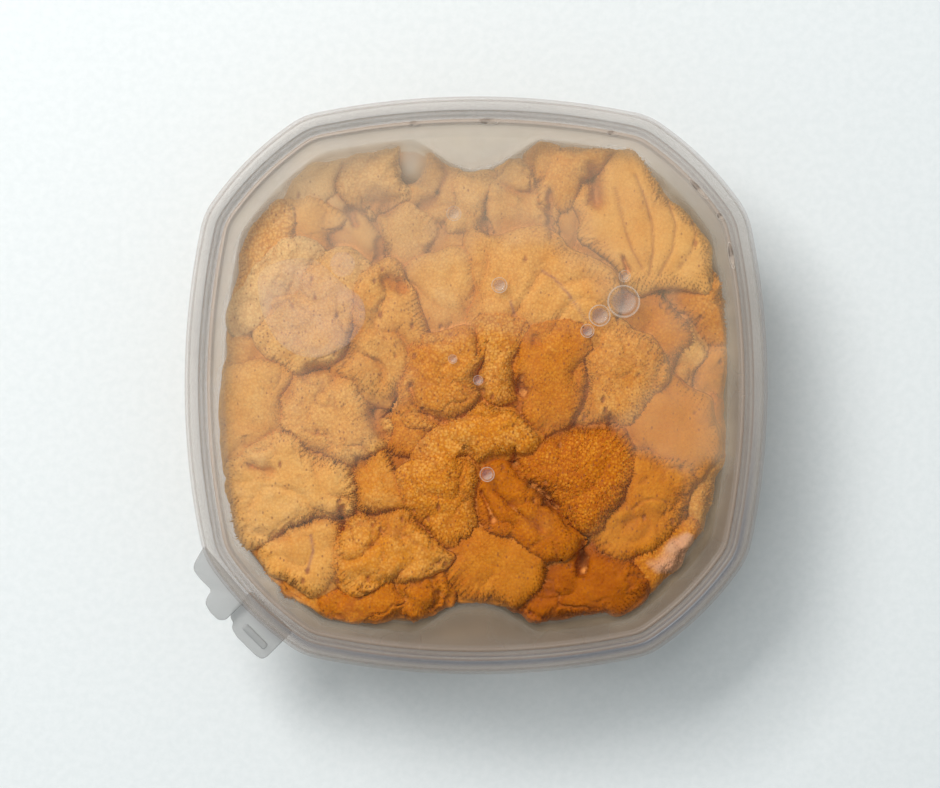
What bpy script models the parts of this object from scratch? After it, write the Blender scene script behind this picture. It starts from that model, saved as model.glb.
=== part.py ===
"""A shut square tub of sea-urchin roe in brine.

The tub stands on Z = 0 with its middle on the origin. Its snap-on lid lies on
top, the finger grips are on the -Y and +Y sides, and the opening tabs are on
the -X -Y corner. Inside, the roe lies as a bed of packed lobes with a top layer
of separate lobes on it, and brine fills the tub up to the lid.
"""

import math

import bmesh
import bpy
from mathutils import Vector

MM = 0.001

# The lid's outline is a square with bowed sides and long, nearly straight corners.
WIDTH = 115.2 * MM
DEPTH = 114.2 * MM
HALF_TURN = math.radians(45.0)
SIDE_TURN = math.radians(11.6)
CORNER_TURN = math.radians(34.7)
BEND_RADIUS = 14.0 * MM
CORNER_RADIUS = 62.0 * MM

# Profiles, from the middle outwards or from the bottom up, as (inset from the outline,
# height above the table) in millimetres. In those of the tub and the brine a third number
# says how much of the finger grips' depth shows at that height.
TUB_OUTSIDE = (
    (6.4, 0.0, 1.0), (5.2, 0.6, 1.0), (4.7, 2.2, 1.0), (4.3, 17.0, 0.8), (4.2, 18.4, 0.58),
    (4.0, 26.0, 0.32), (3.9, 31.5, 0.0), (3.7, 32.8, 0.0), (1.9, 33.7, 0.0), (1.9, 36.1, 0.0),
    (1.05, 36.1, 0.0), (1.05, 36.6, 0.0), (1.4, 36.9, 0.0),
)
TUB_INSIDE = (
    (2.7, 36.9, 0.0), (2.7, 34.2, 0.0), (4.5, 33.4, 0.0), (4.7, 31.2, 0.0), (4.8, 25.8, 0.32),
    (5.0, 18.8, 0.58), (5.1, 17.4, 0.8), (5.6, 2.6, 1.0), (6.8, 1.2, 1.0),
)
LID_ABOVE = (
    (5.7, 35.6), (5.3, 36.3), (4.8, 36.3), (4.45, 35.6), (3.9, 35.6), (3.6, 37.3),
    (3.1, 37.6), (2.6, 38.0), (1.5, 37.95), (0.6, 37.3), (0.1, 36.0), (0.0, 32.4),
)
LID_BELOW = (
    (0.7, 32.4), (0.7, 34.7), (1.15, 35.2), (0.7, 35.75), (0.7, 36.8), (1.3, 37.25),
    (2.9, 37.2), (3.1, 34.9), (4.7, 34.9), (5.05, 35.55), (5.4, 34.9),
)
BRINE_LEVELS = (
    (7.2, 1.5, 1.04), (6.0, 2.9, 1.04), (5.5, 17.4, 0.85), (5.3, 19.2, 0.6), (5.1, 26.0, 0.34),
    (5.0, 31.2, 0.0), (4.9, 34.6, 0.0),
)
BED_LEVELS = ((2.4, 1.6), (0.4, 4.2), (0.0, 9.0), (0.5, 13.4), (2.6, 15.4))

# The finger grips: a bay pushed into the wall from each of the two long sides.
GRIP_HALF = 13.5 * MM
GRIP_DEPTH = 7.2 * MM
GRIP_POWER = 1.4

# The top layer of lobes. A lobe's outline has 10 sides, and more from the lengths given on.
BED_TOP = 15.4 * MM
LOBE_FOOT = 15.9 * MM
LOBE_GAP = 0.3 * MM
LOBE_WALL_INSET = 5.4 * MM
LOBE_WALL_GRIP = 6.3 * MM
LOBE_SIDES = 10
SIDES_PER_LENGTH = ((12.0, 12), (17.0, 14))
BLUNTNESS = 2.5
# Waves in a lobe's edge: how many go round, their depth as a share of the lobe's half
# width, and which way they are turned from lobe to lobe.
EDGE_WAVES = ((3, 0.06, 1.0), (5, 0.05, -1.0))
STRETCH = 2.8 * MM
PUSH = 0.25
MEAN_TOP = 30.5 * MM
STEP = 0.1 * MM
DRAW_IN = 0.94
SPREAD_TOP = 0.66
SPREAD_FOOT = 0.84
SHOULDER_DROP = 0.26
CROWN_DROP = 0.05

# The lower heap.
BED_SIDES = 44
BED_WALL_INSET = 6.0 * MM
BED_WALL_GRIP = 9.2 * MM
BED_CLEARANCE = 0.2 * MM
# Its side bulges in waves: how many go round, their depth, where they start, and how far
# they turn for each metre of height.
BED_WAVES = ((11, 0.9 * MM, 0.0, 260.0), (7, 0.7 * MM, -2.0, -180.0))

# The block that the heap cuts out of the brine: a grid of square cells draped over it.
CUT_CELL = 5.0 * MM
CUT_CELLS = 24
CUT_CLEARANCE = 0.5 * MM
CUT_TOP = 33.95 * MM
CUT_FOOT = -10.0 * MM

# Each lobe of the top layer: middle x and y, heading in degrees, length, width, height of
# its top, and how much higher its far end lies than its near end. Millimetres. The
# rows run from the +Y side to the -Y side, each from -X to +X.
LOBES = (
    (-32.0, 42.3, 20, 13.0, 7.5, 28.5, 0.0),
    (-28.2, 37.0, 75, 9.0, 7.5, 27.0, 0.5),
    (-19.8, 41.5, 45, 14.0, 11.0, 29.0, 1.0),
    (-8.0, 38.5, -60, 13.0, 9.5, 28.0, 0.8),
    (-0.4, 35.0, 70, 11.0, 7.0, 29.0, 0.0),
    (9.2, 35.6, 0, 14.5, 14.0, 28.5, 0.0),
    (18.6, 43.2, 20, 13.0, 8.0, 30.0, 0.6),
    (19.4, 30.5, 95, 16.0, 8.5, 27.8, 0.8),
    (34.2, 33.5, -62, 27.0, 18.0, 31.2, 1.2),
    (-42.6, 27.2, 80, 14.5, 10.0, 30.0, 0.5),
    (-34.2, 30.6, 100, 13.5, 9.0, 28.6, 0.6),
    (-24.2, 28.2, -62, 15.0, 10.0, 28.0, 0.8),
    (-14.6, 28.0, 90, 11.5, 9.5, 28.6, 0.0),
    (-5.6, 27.6, 10, 9.5, 8.5, 28.2, 0.6),
    (26.2, 23.2, 80, 12.0, 7.5, 28.4, 0.6),
    (-38.2, 19.2, 70, 12.5, 10.5, 31.0, 0.8),
    (-30.4, 12.4, 30, 18.0, 15.0, 32.0, 0.5),
    (-19.6, 9.6, 100, 20.0, 14.5, 32.4, 0.6),
    (-6.0, 15.8, 36, 21.0, 13.0, 30.5, 1.0),
    (10.0, 15.6, -20, 21.5, 17.0, 32.4, 0.8),
    (35.8, 18.4, -15, 9.0, 5.5, 27.6, 0.0),
    (39.2, 12.8, 10, 9.0, 5.5, 28.2, 0.0),
    (46.4, 17.6, 95, 19.0, 8.5, 30.0, 0.8),
    (32.6, 8.6, -10, 14.5, 7.5, 30.4, 0.6),
    (-46.4, 4.4, 0, 11.5, 7.0, 28.4, 0.5),
    (-36.4, 1.4, 15, 11.5, 6.5, 28.6, 0.6),
    (-14.2, 0.6, 80, 13.0, 6.5, 28.8, 0.0),
    (-5.4, -1.2, 20, 13.0, 12.5, 33.4, 0.5),
    (5.0, 2.0, 80, 15.5, 8.5, 33.3, 0.4),
    (14.6, 0.6, 75, 17.0, 12.5, 33.5, 0.4),
    (25.4, 1.6, 85, 16.0, 11.5, 33.2, 0.6),
    (39.4, 3.6, 60, 12.5, 8.5, 29.2, 0.8),
    (46.2, 1.2, 90, 11.5, 7.0, 29.0, 0.4),
    (1.4, -9.6, 36, 17.5, 10.5, 33.4, 0.6),
    (-12.0, -8.6, 10, 12.5, 7.5, 31.0, 0.6),
    (-43.2, -7.2, 80, 18.0, 15.5, 30.2, 0.8),
    (-29.0, -8.6, -60, 18.0, 13.0, 31.6, 0.8),
    (-15.6, -14.6, -15, 14.5, 8.5, 29.6, 0.4),
    (19.6, -16.8, 12, 22.5, 15.5, 33.6, 0.3),
    (35.0, -8.8, -20, 18.5, 13.5, 31.6, 0.8),
    (46.0, -9.4, 95, 13.5, 8.0, 29.2, 0.6),
    (-34.6, -21.6, 35, 22.5, 16.0, 31.6, 1.0),
    (-20.8, -20.6, -30, 12.5, 11.0, 32.0, 0.4),
    (-4.2, -22.4, 100, 14.5, 12.5, 33.0, 0.5),
    (8.6, -24.4, -30, 17.5, 12.0, 33.1, 0.3),
    (32.2, -22.2, 65, 17.5, 12.0, 32.5, 0.6),
    (44.6, -22.6, 70, 14.5, 9.5, 29.6, 0.6),
    (-33.0, -32.8, -50, 13.0, 12.0, 31.0, 0.6),
    (-36.6, -40.4, -42, 20.0, 11.5, 29.6, 0.6),
    (-13.4, -25.6, -70, 11.5, 8.0, 30.0, 0.4),
    (-19.0, -31.8, -10, 17.5, 13.0, 32.5, 0.6),
    (-16.6, -42.0, 5, 21.0, 12.0, 31.5, 0.6),
    (3.0, -32.4, 30, 20.0, 12.0, 32.0, 1.0),
    (19.4, -40.4, -25, 20.0, 14.0, 31.0, 0.8),
    (38.0, -34.8, -50, 16.0, 11.0, 30.6, 0.6),
)

# The opening tabs, in the corner's own frame: how far along the corner, how far out.
# The lid's tab has two lobes; the tub's tab is one broad tongue with a rib on it.
LID_TAB = ((-14.6, 62.2), (-14.2, 64.8), (-13.4, 65.6), (-11.5, 65.9), (-8.1, 65.9),
           (-7.8, 67.4), (-7.2, 68.6), (-5.4, 69.2), (-3.0, 69.2), (-1.9, 68.2), (-1.8, 63.4))
TUB_TAB = ((-4.8, 60.6), (-4.8, 65.6), (-2.6, 67.6), (-0.6, 67.6), (0.1, 68.7), (1.9, 69.2),
           (7.4, 69.2), (8.7, 68.8), (9.1, 67.8), (9.1, 60.6))
LID_TAB_ROOT = 63.3
TUB_TAB_ROOT = 59.4
LID_TAB_FOOT = 33.2 * MM
LID_TAB_TOP = 34.4 * MM
TUB_TAB_TOP = 31.9 * MM
TUB_TAB_FOOT = 30.7 * MM
RIB_ALONG = (1.2, 7.8)
RIB_OUT = (66.2, 67.0)
RIB_HEIGHT = 0.5 * MM
ROOT_STEPS = 6


def bend_span(start, end):
    """How much an arc of radius 1 adds to the way from a side's middle to the diagonal."""
    return (math.cos(start) - math.cos(end)) + (math.sin(end) - math.sin(start))


def outline_arcs():
    """(radius, start, end) of the arcs from the middle of a side to the middle of a corner."""
    bend = BEND_RADIUS * bend_span(SIDE_TURN, CORNER_TURN)
    corner = CORNER_RADIUS * bend_span(CORNER_TURN, HALF_TURN)
    side_radius = (WIDTH / 2 - bend - corner) / bend_span(0.0, SIDE_TURN)
    return (
        (side_radius, 0.0, SIDE_TURN),
        (BEND_RADIUS, SIDE_TURN, CORNER_TURN),
        (CORNER_RADIUS, CORNER_TURN, HALF_TURN),
    )


ARCS = outline_arcs()


def edge_point(facing, inset):
    """The point of the outline that faces this way, moved inwards by inset."""
    quarter, turn = divmod(facing, math.pi / 2)
    mirrored = turn > HALF_TURN
    if mirrored:
        turn = math.pi / 2 - turn
    x = WIDTH / 2 - inset * math.cos(turn)
    y = -inset * math.sin(turn)
    for radius, start, end in ARCS:
        reached = min(turn, end)
        if reached > start:
            x += radius * (math.cos(reached) - math.cos(start))
            y += radius * (math.sin(reached) - math.sin(start))
    if mirrored:
        x, y = y, x
    c, s = math.cos(quarter * math.pi / 2), math.sin(quarter * math.pi / 2)
    return c * x - s * y, (s * x + c * y) * DEPTH / WIDTH


# The -X -Y corner carries the tabs: which way it faces, and how far out its middle lies.
CORNER_FACING = math.radians(225.0)
CORNER_OUT = math.hypot(*edge_point(CORNER_FACING, 0.0)) / MM


def facings(side_steps, grip_steps=0):
    """The directions that the outline's points face, all round. With grip_steps, the sides
    that have a finger grip get that many points across each half of it."""
    eighth = []
    for step in range(side_steps):
        eighth.append(SIDE_TURN * step / side_steps)
    eighth.append(SIDE_TURN)
    eighth.append((SIDE_TURN + CORNER_TURN) / 2)
    eighth.append(CORNER_TURN)
    gripped = list(eighth)
    if grip_steps:
        side_radius = ARCS[0][0]
        across = [GRIP_HALF * k / grip_steps for k in range(grip_steps + 1)]
        gripped = [math.asin(x / side_radius) for x in across] + eighth[-3:]
    found = []
    for quarter in range(4):
        start = quarter * math.pi / 2
        first, last = (eighth, gripped) if quarter % 2 == 0 else (gripped, eighth)
        found += [start + a for a in first]
        found.append(start + HALF_TURN)
        found += [start + math.pi / 2 - a for a in reversed(last) if a > 0]
    return found


def bay(x):
    """The finger grip's shape across the side: 1 in its middle, 0 at its ends."""
    if abs(x) >= GRIP_HALF:
        return 0.0
    return math.cos(math.pi / 2 * x / GRIP_HALF) ** GRIP_POWER


def ring(around, inset, height, bay_depth=0.0):
    """One level of the outline, moved inwards, with the grips pushed in by bay_depth."""
    points = []
    for facing in around:
        x, y = edge_point(facing, inset)
        if abs(y) > abs(x):
            y -= math.copysign(bay_depth * bay(x), y)
        points.append(Vector((x, y, height)))
    return points


def loft(name, rings, peak=None):
    """A closed solid through the rings. The first ring is filled flat, and so is the last,
    unless a peak stands over it."""
    bm = bmesh.new()
    rows = [[bm.verts.new(p) for p in points] for points in rings]
    for low, high in zip(rows, rows[1:]):
        for k in range(len(low)):
            n = (k + 1) % len(low)
            bm.faces.new((low[k], low[n], high[n], high[k]))
    bm.faces.new(list(reversed(rows[0])))
    if peak is None:
        bm.faces.new(rows[-1])
    else:
        tip = bm.verts.new(peak)
        for k, vert in enumerate(rows[-1]):
            bm.faces.new((vert, rows[-1][(k + 1) % len(rows[-1])], tip))
    bmesh.ops.recalc_face_normals(bm, faces=bm.faces)
    bmesh.ops.triangulate(bm, faces=bm.faces)
    mesh = bpy.data.meshes.new(name)
    bm.to_mesh(mesh)
    bm.free()
    return mesh


def material(name, colour, roughness, alpha=1.0):
    made = bpy.data.materials.new(name)
    made.use_nodes = True
    shader = made.node_tree.nodes["Principled BSDF"]
    shader.inputs["Base Color"].default_value = (*colour, 1.0)
    shader.inputs["Roughness"].default_value = roughness
    shader.inputs["Metallic"].default_value = 0.0
    shader.inputs["Alpha"].default_value = alpha
    made.diffuse_color = (*colour, alpha)
    return made


def new_object(name, mesh, collection, finish=None):
    made = bpy.data.objects.new(name, mesh)
    collection.objects.link(made)
    if finish:
        mesh.materials.append(finish)
    return made


def new_cutter(name, mesh, collection):
    made = new_object(name, mesh, collection)
    made.hide_render = True
    made.display_type = "WIRE"
    return made


def combine(target, tool, operation):
    joined = target.modifiers.new(f"{operation.lower()} {tool.name}", "BOOLEAN")
    joined.operation = operation
    joined.solver = "EXACT"
    joined.object = tool


def prism(name, outline, foot, top, collection):
    """A flat outline given thickness, as a mesh. Its points are (along, out) in the frame of
    the -X -Y corner, in millimetres."""
    curve = bpy.data.curves.new(name, "CURVE")
    curve.dimensions = "2D"
    curve.fill_mode = "BOTH"
    curve.extrude = (top - foot) / 2
    spline = curve.splines.new("POLY")
    spline.points.add(len(outline) - 1)
    spline.use_cyclic_u = True
    for point, (along, out) in zip(spline.points, outline):
        x = (along - out) / math.sqrt(2) * MM
        y = (-along - out) / math.sqrt(2) * MM
        point.co = (x, y * DEPTH / WIDTH, 0.0, 1.0)
    drawn = bpy.data.objects.new(name, curve)
    collection.objects.link(drawn)
    drawn.location.z = (top + foot) / 2
    bpy.context.view_layer.update()
    seen = drawn.evaluated_get(bpy.context.evaluated_depsgraph_get())
    mesh = bpy.data.meshes.new_from_object(seen)
    mesh.transform(drawn.matrix_world)
    bpy.data.objects.remove(drawn)
    bm = bmesh.new()
    bm.from_mesh(mesh)
    bmesh.ops.remove_doubles(bm, verts=bm.verts, dist=0.01 * MM)
    bmesh.ops.recalc_face_normals(bm, faces=bm.faces)
    bm.to_mesh(mesh)
    bm.free()
    return new_cutter(name, mesh, collection)


def rooted(outline, root_out):
    """The tab's outline with its root following the corner's curve, so that it ends inside
    the wall that it grows from. root_out is how far out the root lies at the corner's middle."""
    first, last = outline[0][0], outline[-1][0]
    root = []
    for k in range(1, ROOT_STEPS):
        along = last + (first - last) * k / ROOT_STEPS
        best = min(
            (edge_point(CORNER_FACING + math.radians(0.5 * turn), 0.0) for turn in range(-70, 71)),
            key=lambda p: abs((p[0] - p[1]) / math.sqrt(2) / MM - along),
        )
        out = -(best[0] + best[1]) / math.sqrt(2) / MM
        root.append((along, out - (CORNER_OUT - root_out)))
    return tuple(outline) + tuple(root)


def make_tub(collection, cutters, finish):
    """The tub: a moulded shell with a flat base, drafted walls, two finger grips, a shoulder
    and an outward lip."""
    around = facings(2, grip_steps=4)
    rings = []
    for inset, height, share in TUB_OUTSIDE + TUB_INSIDE:
        rings.append(ring(around, inset * MM, height * MM, share * GRIP_DEPTH))
    tub = new_object("tub", loft("tub", rings), collection, finish)
    tab = prism("tub_tab_shape", rooted(TUB_TAB, TUB_TAB_ROOT), TUB_TAB_FOOT, TUB_TAB_TOP, cutters)
    combine(tub, tab, "UNION")
    low, high = RIB_ALONG
    near, far = RIB_OUT
    square = ((low, near), (low, far), (high, far), (high, near))
    rib = prism("tub_tab_rib", square, TUB_TAB_TOP - RIB_HEIGHT, TUB_TAB_TOP + RIB_HEIGHT, cutters)
    combine(tub, rib, "UNION")
    return tub


def make_lid(collection, cutters, finish):
    """The lid: a flat panel, a bead and a groove round it, a rounded rim over the tub's lip
    and a skirt with a snap bead."""
    around = facings(3)
    rings = [ring(around, inset * MM, height * MM) for inset, height in LID_ABOVE + LID_BELOW]
    lid = new_object("lid", loft("lid", rings), collection, finish)
    tab = prism("lid_tab_shape", rooted(LID_TAB, LID_TAB_ROOT), LID_TAB_FOOT, LID_TAB_TOP, cutters)
    combine(lid, tab, "UNION")
    return lid


def reach(x, y, angle, outline):
    """How far a straight line from x, y runs before it meets the outline."""
    dx, dy = math.cos(angle), math.sin(angle)
    nearest = math.inf
    for a, b in zip(outline, outline[1:] + outline[:1]):
        ex, ey = b.x - a.x, b.y - a.y
        across = dx * ey - dy * ex
        if abs(across) < 1e-12:
            continue
        ax, ay = a.x - x, a.y - y
        along = (ax * ey - ay * ex) / across
        share = (ax * dy - ay * dx) / across
        if along > 0 and 0 <= share <= 1:
            nearest = min(nearest, along)
    return nearest


class Lobe:
    """One roe lobe of the top layer: a pillow with a long outline, which gives way where the
    neighbouring lobes and the wall begin."""

    def __init__(self, number, x, y, heading, length, width, top, lean):
        self.name = f"roe_{number:02d}"
        self.x = x * MM
        self.y = y * MM
        self.heading = math.radians(heading)
        self.half_length = length / 2 * MM
        self.half_width = width / 2 * MM
        self.top = top * MM
        self.lean = lean * MM
        self.phase = 1.7 * number
        self.sides = LOBE_SIDES
        for least, count in SIDES_PER_LENGTH:
            if length >= least:
                self.sides = count
        self.radii = []

    def outside(self, x, y):
        """How far a point lies outside the lobe's own blunt oval, negative inside it. Higher
        lobes count as a little nearer, so that they push the lower ones back."""
        dx, dy = x - self.x, y - self.y
        turn = math.atan2(dy, dx) - self.heading
        away = math.hypot(dx, dy)
        long_share = abs(away * math.cos(turn) / self.half_length) ** BLUNTNESS
        wide_share = abs(away * math.sin(turn) / self.half_width) ** BLUNTNESS
        wave = 1.0
        for count, depth, way in EDGE_WAVES:
            wave += depth * math.sin(count * turn + way * self.phase)
        scaled = (long_share + wide_share) ** (1 / BLUNTNESS) * wave
        return (scaled - 1.0) * self.half_width - PUSH * (self.top - MEAN_TOP)

    def free(self, angle, r, near):
        """Whether the point r away in this direction is still this lobe's."""
        x, y = self.x + r * math.cos(angle), self.y + r * math.sin(angle)
        own = self.outside(x, y)
        return own < STRETCH and all(other.outside(x, y) - own > LOBE_GAP for other in near)

    def find_outline(self, lobes, wall):
        """Works out the outline's radii, then draws in any edge that leaves the lobe's area."""
        near = [other for other in lobes if other is not self
                and math.hypot(other.x - self.x, other.y - self.y)
                < 1.3 * (other.half_length + self.half_length)]
        angles = [2 * math.pi * side / self.sides for side in range(self.sides)]
        for angle in angles:
            limit = reach(self.x, self.y, angle, wall)
            r = STEP
            while r < limit and self.free(angle, r, near):
                r += STEP
            self.radii.append(min(r - STEP, limit))
        half = math.pi / self.sides
        for _ in range(3):
            for side, angle in enumerate(angles):
                after = (side + 1) % self.sides
                middle = angle + half
                chord = (self.radii[side] + self.radii[after]) / 2 * math.cos(half)
                held = self.free(middle, chord, near) and chord < reach(
                    self.x, self.y, middle, wall)
                if not held:
                    longer = side if self.radii[side] > self.radii[after] else after
                    self.radii[longer] *= DRAW_IN

    def radius_at(self, angle):
        place = (angle % (2 * math.pi)) / (2 * math.pi) * self.sides
        low = int(place) % self.sides
        share = place - int(place)
        return self.radii[low] * (1 - share) + self.radii[(low + 1) % self.sides] * share

    def holds(self, x, y, margin):
        """Whether a point lies within the finished outline or closer to it than margin."""
        dx, dy = x - self.x, y - self.y
        away = math.hypot(dx, dy)
        return away < self.radius_at(math.atan2(dy, dx)) + margin

    def level(self, share, height, lean):
        points = []
        for side in range(self.sides):
            angle = 2 * math.pi * side / self.sides
            r = share * self.radii[side]
            tilt = lean * r * math.cos(angle - self.heading) / self.half_length
            points.append(Vector((self.x + r * math.cos(angle), self.y + r * math.sin(angle),
                                  height + tilt)))
        return points

    def make(self, collection, finish):
        """A pillow through rings: flat where it rests, upright at its side, domed above."""
        tall = self.top - LOBE_FOOT
        rings = [
            self.level(SPREAD_FOOT, LOBE_FOOT, 0.0),
            self.level(1.0, self.top - SHOULDER_DROP * tall, self.lean),
            self.level(SPREAD_TOP, self.top - CROWN_DROP * tall, self.lean),
        ]
        mesh = loft(self.name, rings, Vector((self.x, self.y, self.top)))
        return new_object(self.name, mesh, collection, finish)


def place_lobes():
    """All lobes, each with the area that its neighbours leave it."""
    lobes = [Lobe(number, *row) for number, row in enumerate(LOBES, start=1)]
    wall = ring(facings(2, grip_steps=4), LOBE_WALL_INSET, 0.0, LOBE_WALL_GRIP)
    for lobe in lobes:
        lobe.find_outline(lobes, wall)
    return lobes


def bed_radius(angle, height):
    """The lower heap's reach: the wall less a wave of bulging lobes that lean on it."""
    wall = ring(facings(2, grip_steps=4), BED_WALL_INSET, 0.0, BED_WALL_GRIP)
    drawn_in = BED_CLEARANCE
    for count, depth, start, twist in BED_WAVES:
        drawn_in += depth * (0.5 + 0.5 * math.sin(count * angle + start + twist * height))
    return reach(0.0, 0.0, angle, wall) - drawn_in


def make_bed(collection, finish):
    """The lower heap of lobes, packed so close that it is one lumpy solid."""
    rings = []
    for shrink, height in BED_LEVELS:
        points = []
        for side in range(BED_SIDES):
            angle = 2 * math.pi * side / BED_SIDES
            r = bed_radius(angle, height * MM) - shrink * MM
            points.append(Vector((r * math.cos(angle), r * math.sin(angle), height * MM)))
        rings.append(points)
    return new_object("roe_bed", loft("roe_bed", rings), collection, finish)


def heap_height(x, y, lobes, margin):
    """The height that the brine has to stay above at x, y."""
    found = CUT_FOOT / 2
    if math.hypot(x, y) < bed_radius(math.atan2(y, x), 0.5 * BED_TOP) + margin:
        found = BED_TOP
    for lobe in lobes:
        if lobe.holds(x, y, margin):
            found = max(found, lobe.top + lobe.lean)
    return min(found + CUT_CLEARANCE, CUT_TOP)


def make_brine(collection, cutters, finish, lobes):
    """The brine: all that the tub holds up to the lid, less the heap of roe."""
    around = facings(2, grip_steps=4)
    rings = []
    for inset, height, share in BRINE_LEVELS:
        rings.append(ring(around, inset * MM, height * MM, share * GRIP_DEPTH))
    brine = new_object("brine", loft("brine", rings), collection, finish)
    bm = bmesh.new()
    bmesh.ops.create_grid(bm, x_segments=CUT_CELLS, y_segments=CUT_CELLS,
                          size=CUT_CELLS * CUT_CELL / 2)
    for vert in bm.verts:
        vert.co.z = heap_height(vert.co.x, vert.co.y, lobes, math.sqrt(2) * CUT_CELL)
    rim = [edge for edge in bm.edges if edge.is_boundary]
    skirt = bmesh.ops.extrude_edge_only(bm, edges=rim)["geom"]
    for item in skirt:
        if isinstance(item, bmesh.types.BMVert):
            item.co.z = CUT_FOOT
    bmesh.ops.holes_fill(bm, edges=[edge for edge in bm.edges if edge.is_boundary])
    bmesh.ops.triangulate(bm, faces=bm.faces)
    bmesh.ops.recalc_face_normals(bm, faces=bm.faces)
    mesh = bpy.data.meshes.new("heap_cut")
    bm.to_mesh(mesh)
    bm.free()
    combine(brine, new_cutter("heap_cut", mesh, cutters), "DIFFERENCE")
    thin = brine.modifiers.new("merge flat faces", "DECIMATE")
    thin.decimate_type = "DISSOLVE"
    thin.angle_limit = math.radians(0.5)
    return brine


def main():
    for item in list(bpy.data.objects):
        bpy.data.objects.remove(item, do_unlink=True)
    scene = bpy.context.scene
    parts = bpy.data.collections.new("roe_tub")
    cutters = bpy.data.collections.new("cutters")
    scene.collection.children.link(parts)
    scene.collection.children.link(cutters)

    plastic = material("frosted_plastic", (0.72, 0.70, 0.68), 0.35, alpha=0.45)
    clear = material("lid_plastic", (0.76, 0.74, 0.72), 0.25, alpha=0.35)
    liquid = material("brine", (0.55, 0.50, 0.42), 0.05, alpha=0.3)
    roe = material("roe", (0.62, 0.30, 0.07), 0.45)

    make_tub(parts, cutters, plastic)
    make_lid(parts, cutters, clear)
    lobes = place_lobes()
    for lobe in lobes:
        lobe.make(parts, roe)
    make_bed(parts, roe)
    make_brine(parts, cutters, liquid, lobes)


main()
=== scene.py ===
# %% [markdown]
# # A shut tub of sea urchin roe
#
# A square tub of soft, frosted plastic is filled with sea urchin roe in brine and shut with a
# snap-on lid. The working model of it, with its real sizes, is loaded first and stays as it
# is: it is the frame. This lesson dresses that frame. Plastic, liquid and food each get their
# own finely modelled pieces and their own finish, and a camera looks straight down at them.
# Everything is in metres, with +Z up.

# %% Load the frame
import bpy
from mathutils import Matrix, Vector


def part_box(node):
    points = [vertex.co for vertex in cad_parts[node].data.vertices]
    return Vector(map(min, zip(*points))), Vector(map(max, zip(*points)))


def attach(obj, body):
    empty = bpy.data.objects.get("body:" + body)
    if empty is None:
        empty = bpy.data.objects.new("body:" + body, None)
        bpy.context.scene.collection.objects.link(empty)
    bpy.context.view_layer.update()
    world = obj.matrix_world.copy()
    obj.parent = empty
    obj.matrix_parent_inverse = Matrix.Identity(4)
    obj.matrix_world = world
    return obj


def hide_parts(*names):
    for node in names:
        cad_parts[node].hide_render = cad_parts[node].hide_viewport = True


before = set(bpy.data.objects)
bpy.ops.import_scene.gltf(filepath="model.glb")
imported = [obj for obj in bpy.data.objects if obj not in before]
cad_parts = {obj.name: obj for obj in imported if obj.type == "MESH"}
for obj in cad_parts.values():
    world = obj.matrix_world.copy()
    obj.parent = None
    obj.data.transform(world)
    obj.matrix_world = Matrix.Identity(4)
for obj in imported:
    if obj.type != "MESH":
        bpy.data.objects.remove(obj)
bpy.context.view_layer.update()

# %% Tools and the driving sizes
import math

import bmesh
import bpy
import numpy as np
from mathutils import Vector

MM = 0.001
lid_low, lid_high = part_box("lid")
tub_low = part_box("tub")[0]
WIDTH = lid_high.x - lid_low.x
DEPTH = lid_high.y - lid_low.y
LID_TOP = lid_high.z
print(f"lid {WIDTH / MM:.1f} x {DEPTH / MM:.1f} mm, its top {LID_TOP / MM:.1f} mm up")

# %% [markdown]
# ## Arithmetic on shader sockets
#
# A material is a net of nodes, and a sum or a product in it is a Math node with wires. Written
# out one by one they hide the idea, so one small class wraps a socket and turns Python's
# operators into Math nodes.

# %% A wire
class Wire:
    """An output socket that can be added, multiplied and so on."""

    def __init__(self, finish, socket):
        self.finish = finish
        self.socket = socket

    def maths(self, operation, *others):
        inputs = dict(enumerate((self, *others)))
        return self.finish.add("ShaderNodeMath", {"operation": operation}, inputs)

    def __add__(self, other):
        return self.maths("ADD", other)

    def __sub__(self, other):
        return self.maths("SUBTRACT", other)

    def __rsub__(self, other):
        return self * -1.0 + other

    def __mul__(self, other):
        return self.maths("MULTIPLY", other)

    __radd__ = __add__
    __rmul__ = __mul__


print("a wire knows", [name for name in vars(Wire) if name.startswith("__r")])

# %% [markdown]
# ## One class for a material
#
# A second class holds one material: it makes any other node from its type, its settings and its
# inputs, with short ways for those that are used most. Colours never go through a Math node,
# which would turn them grey: they are mixed with Mix nodes.

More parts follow.
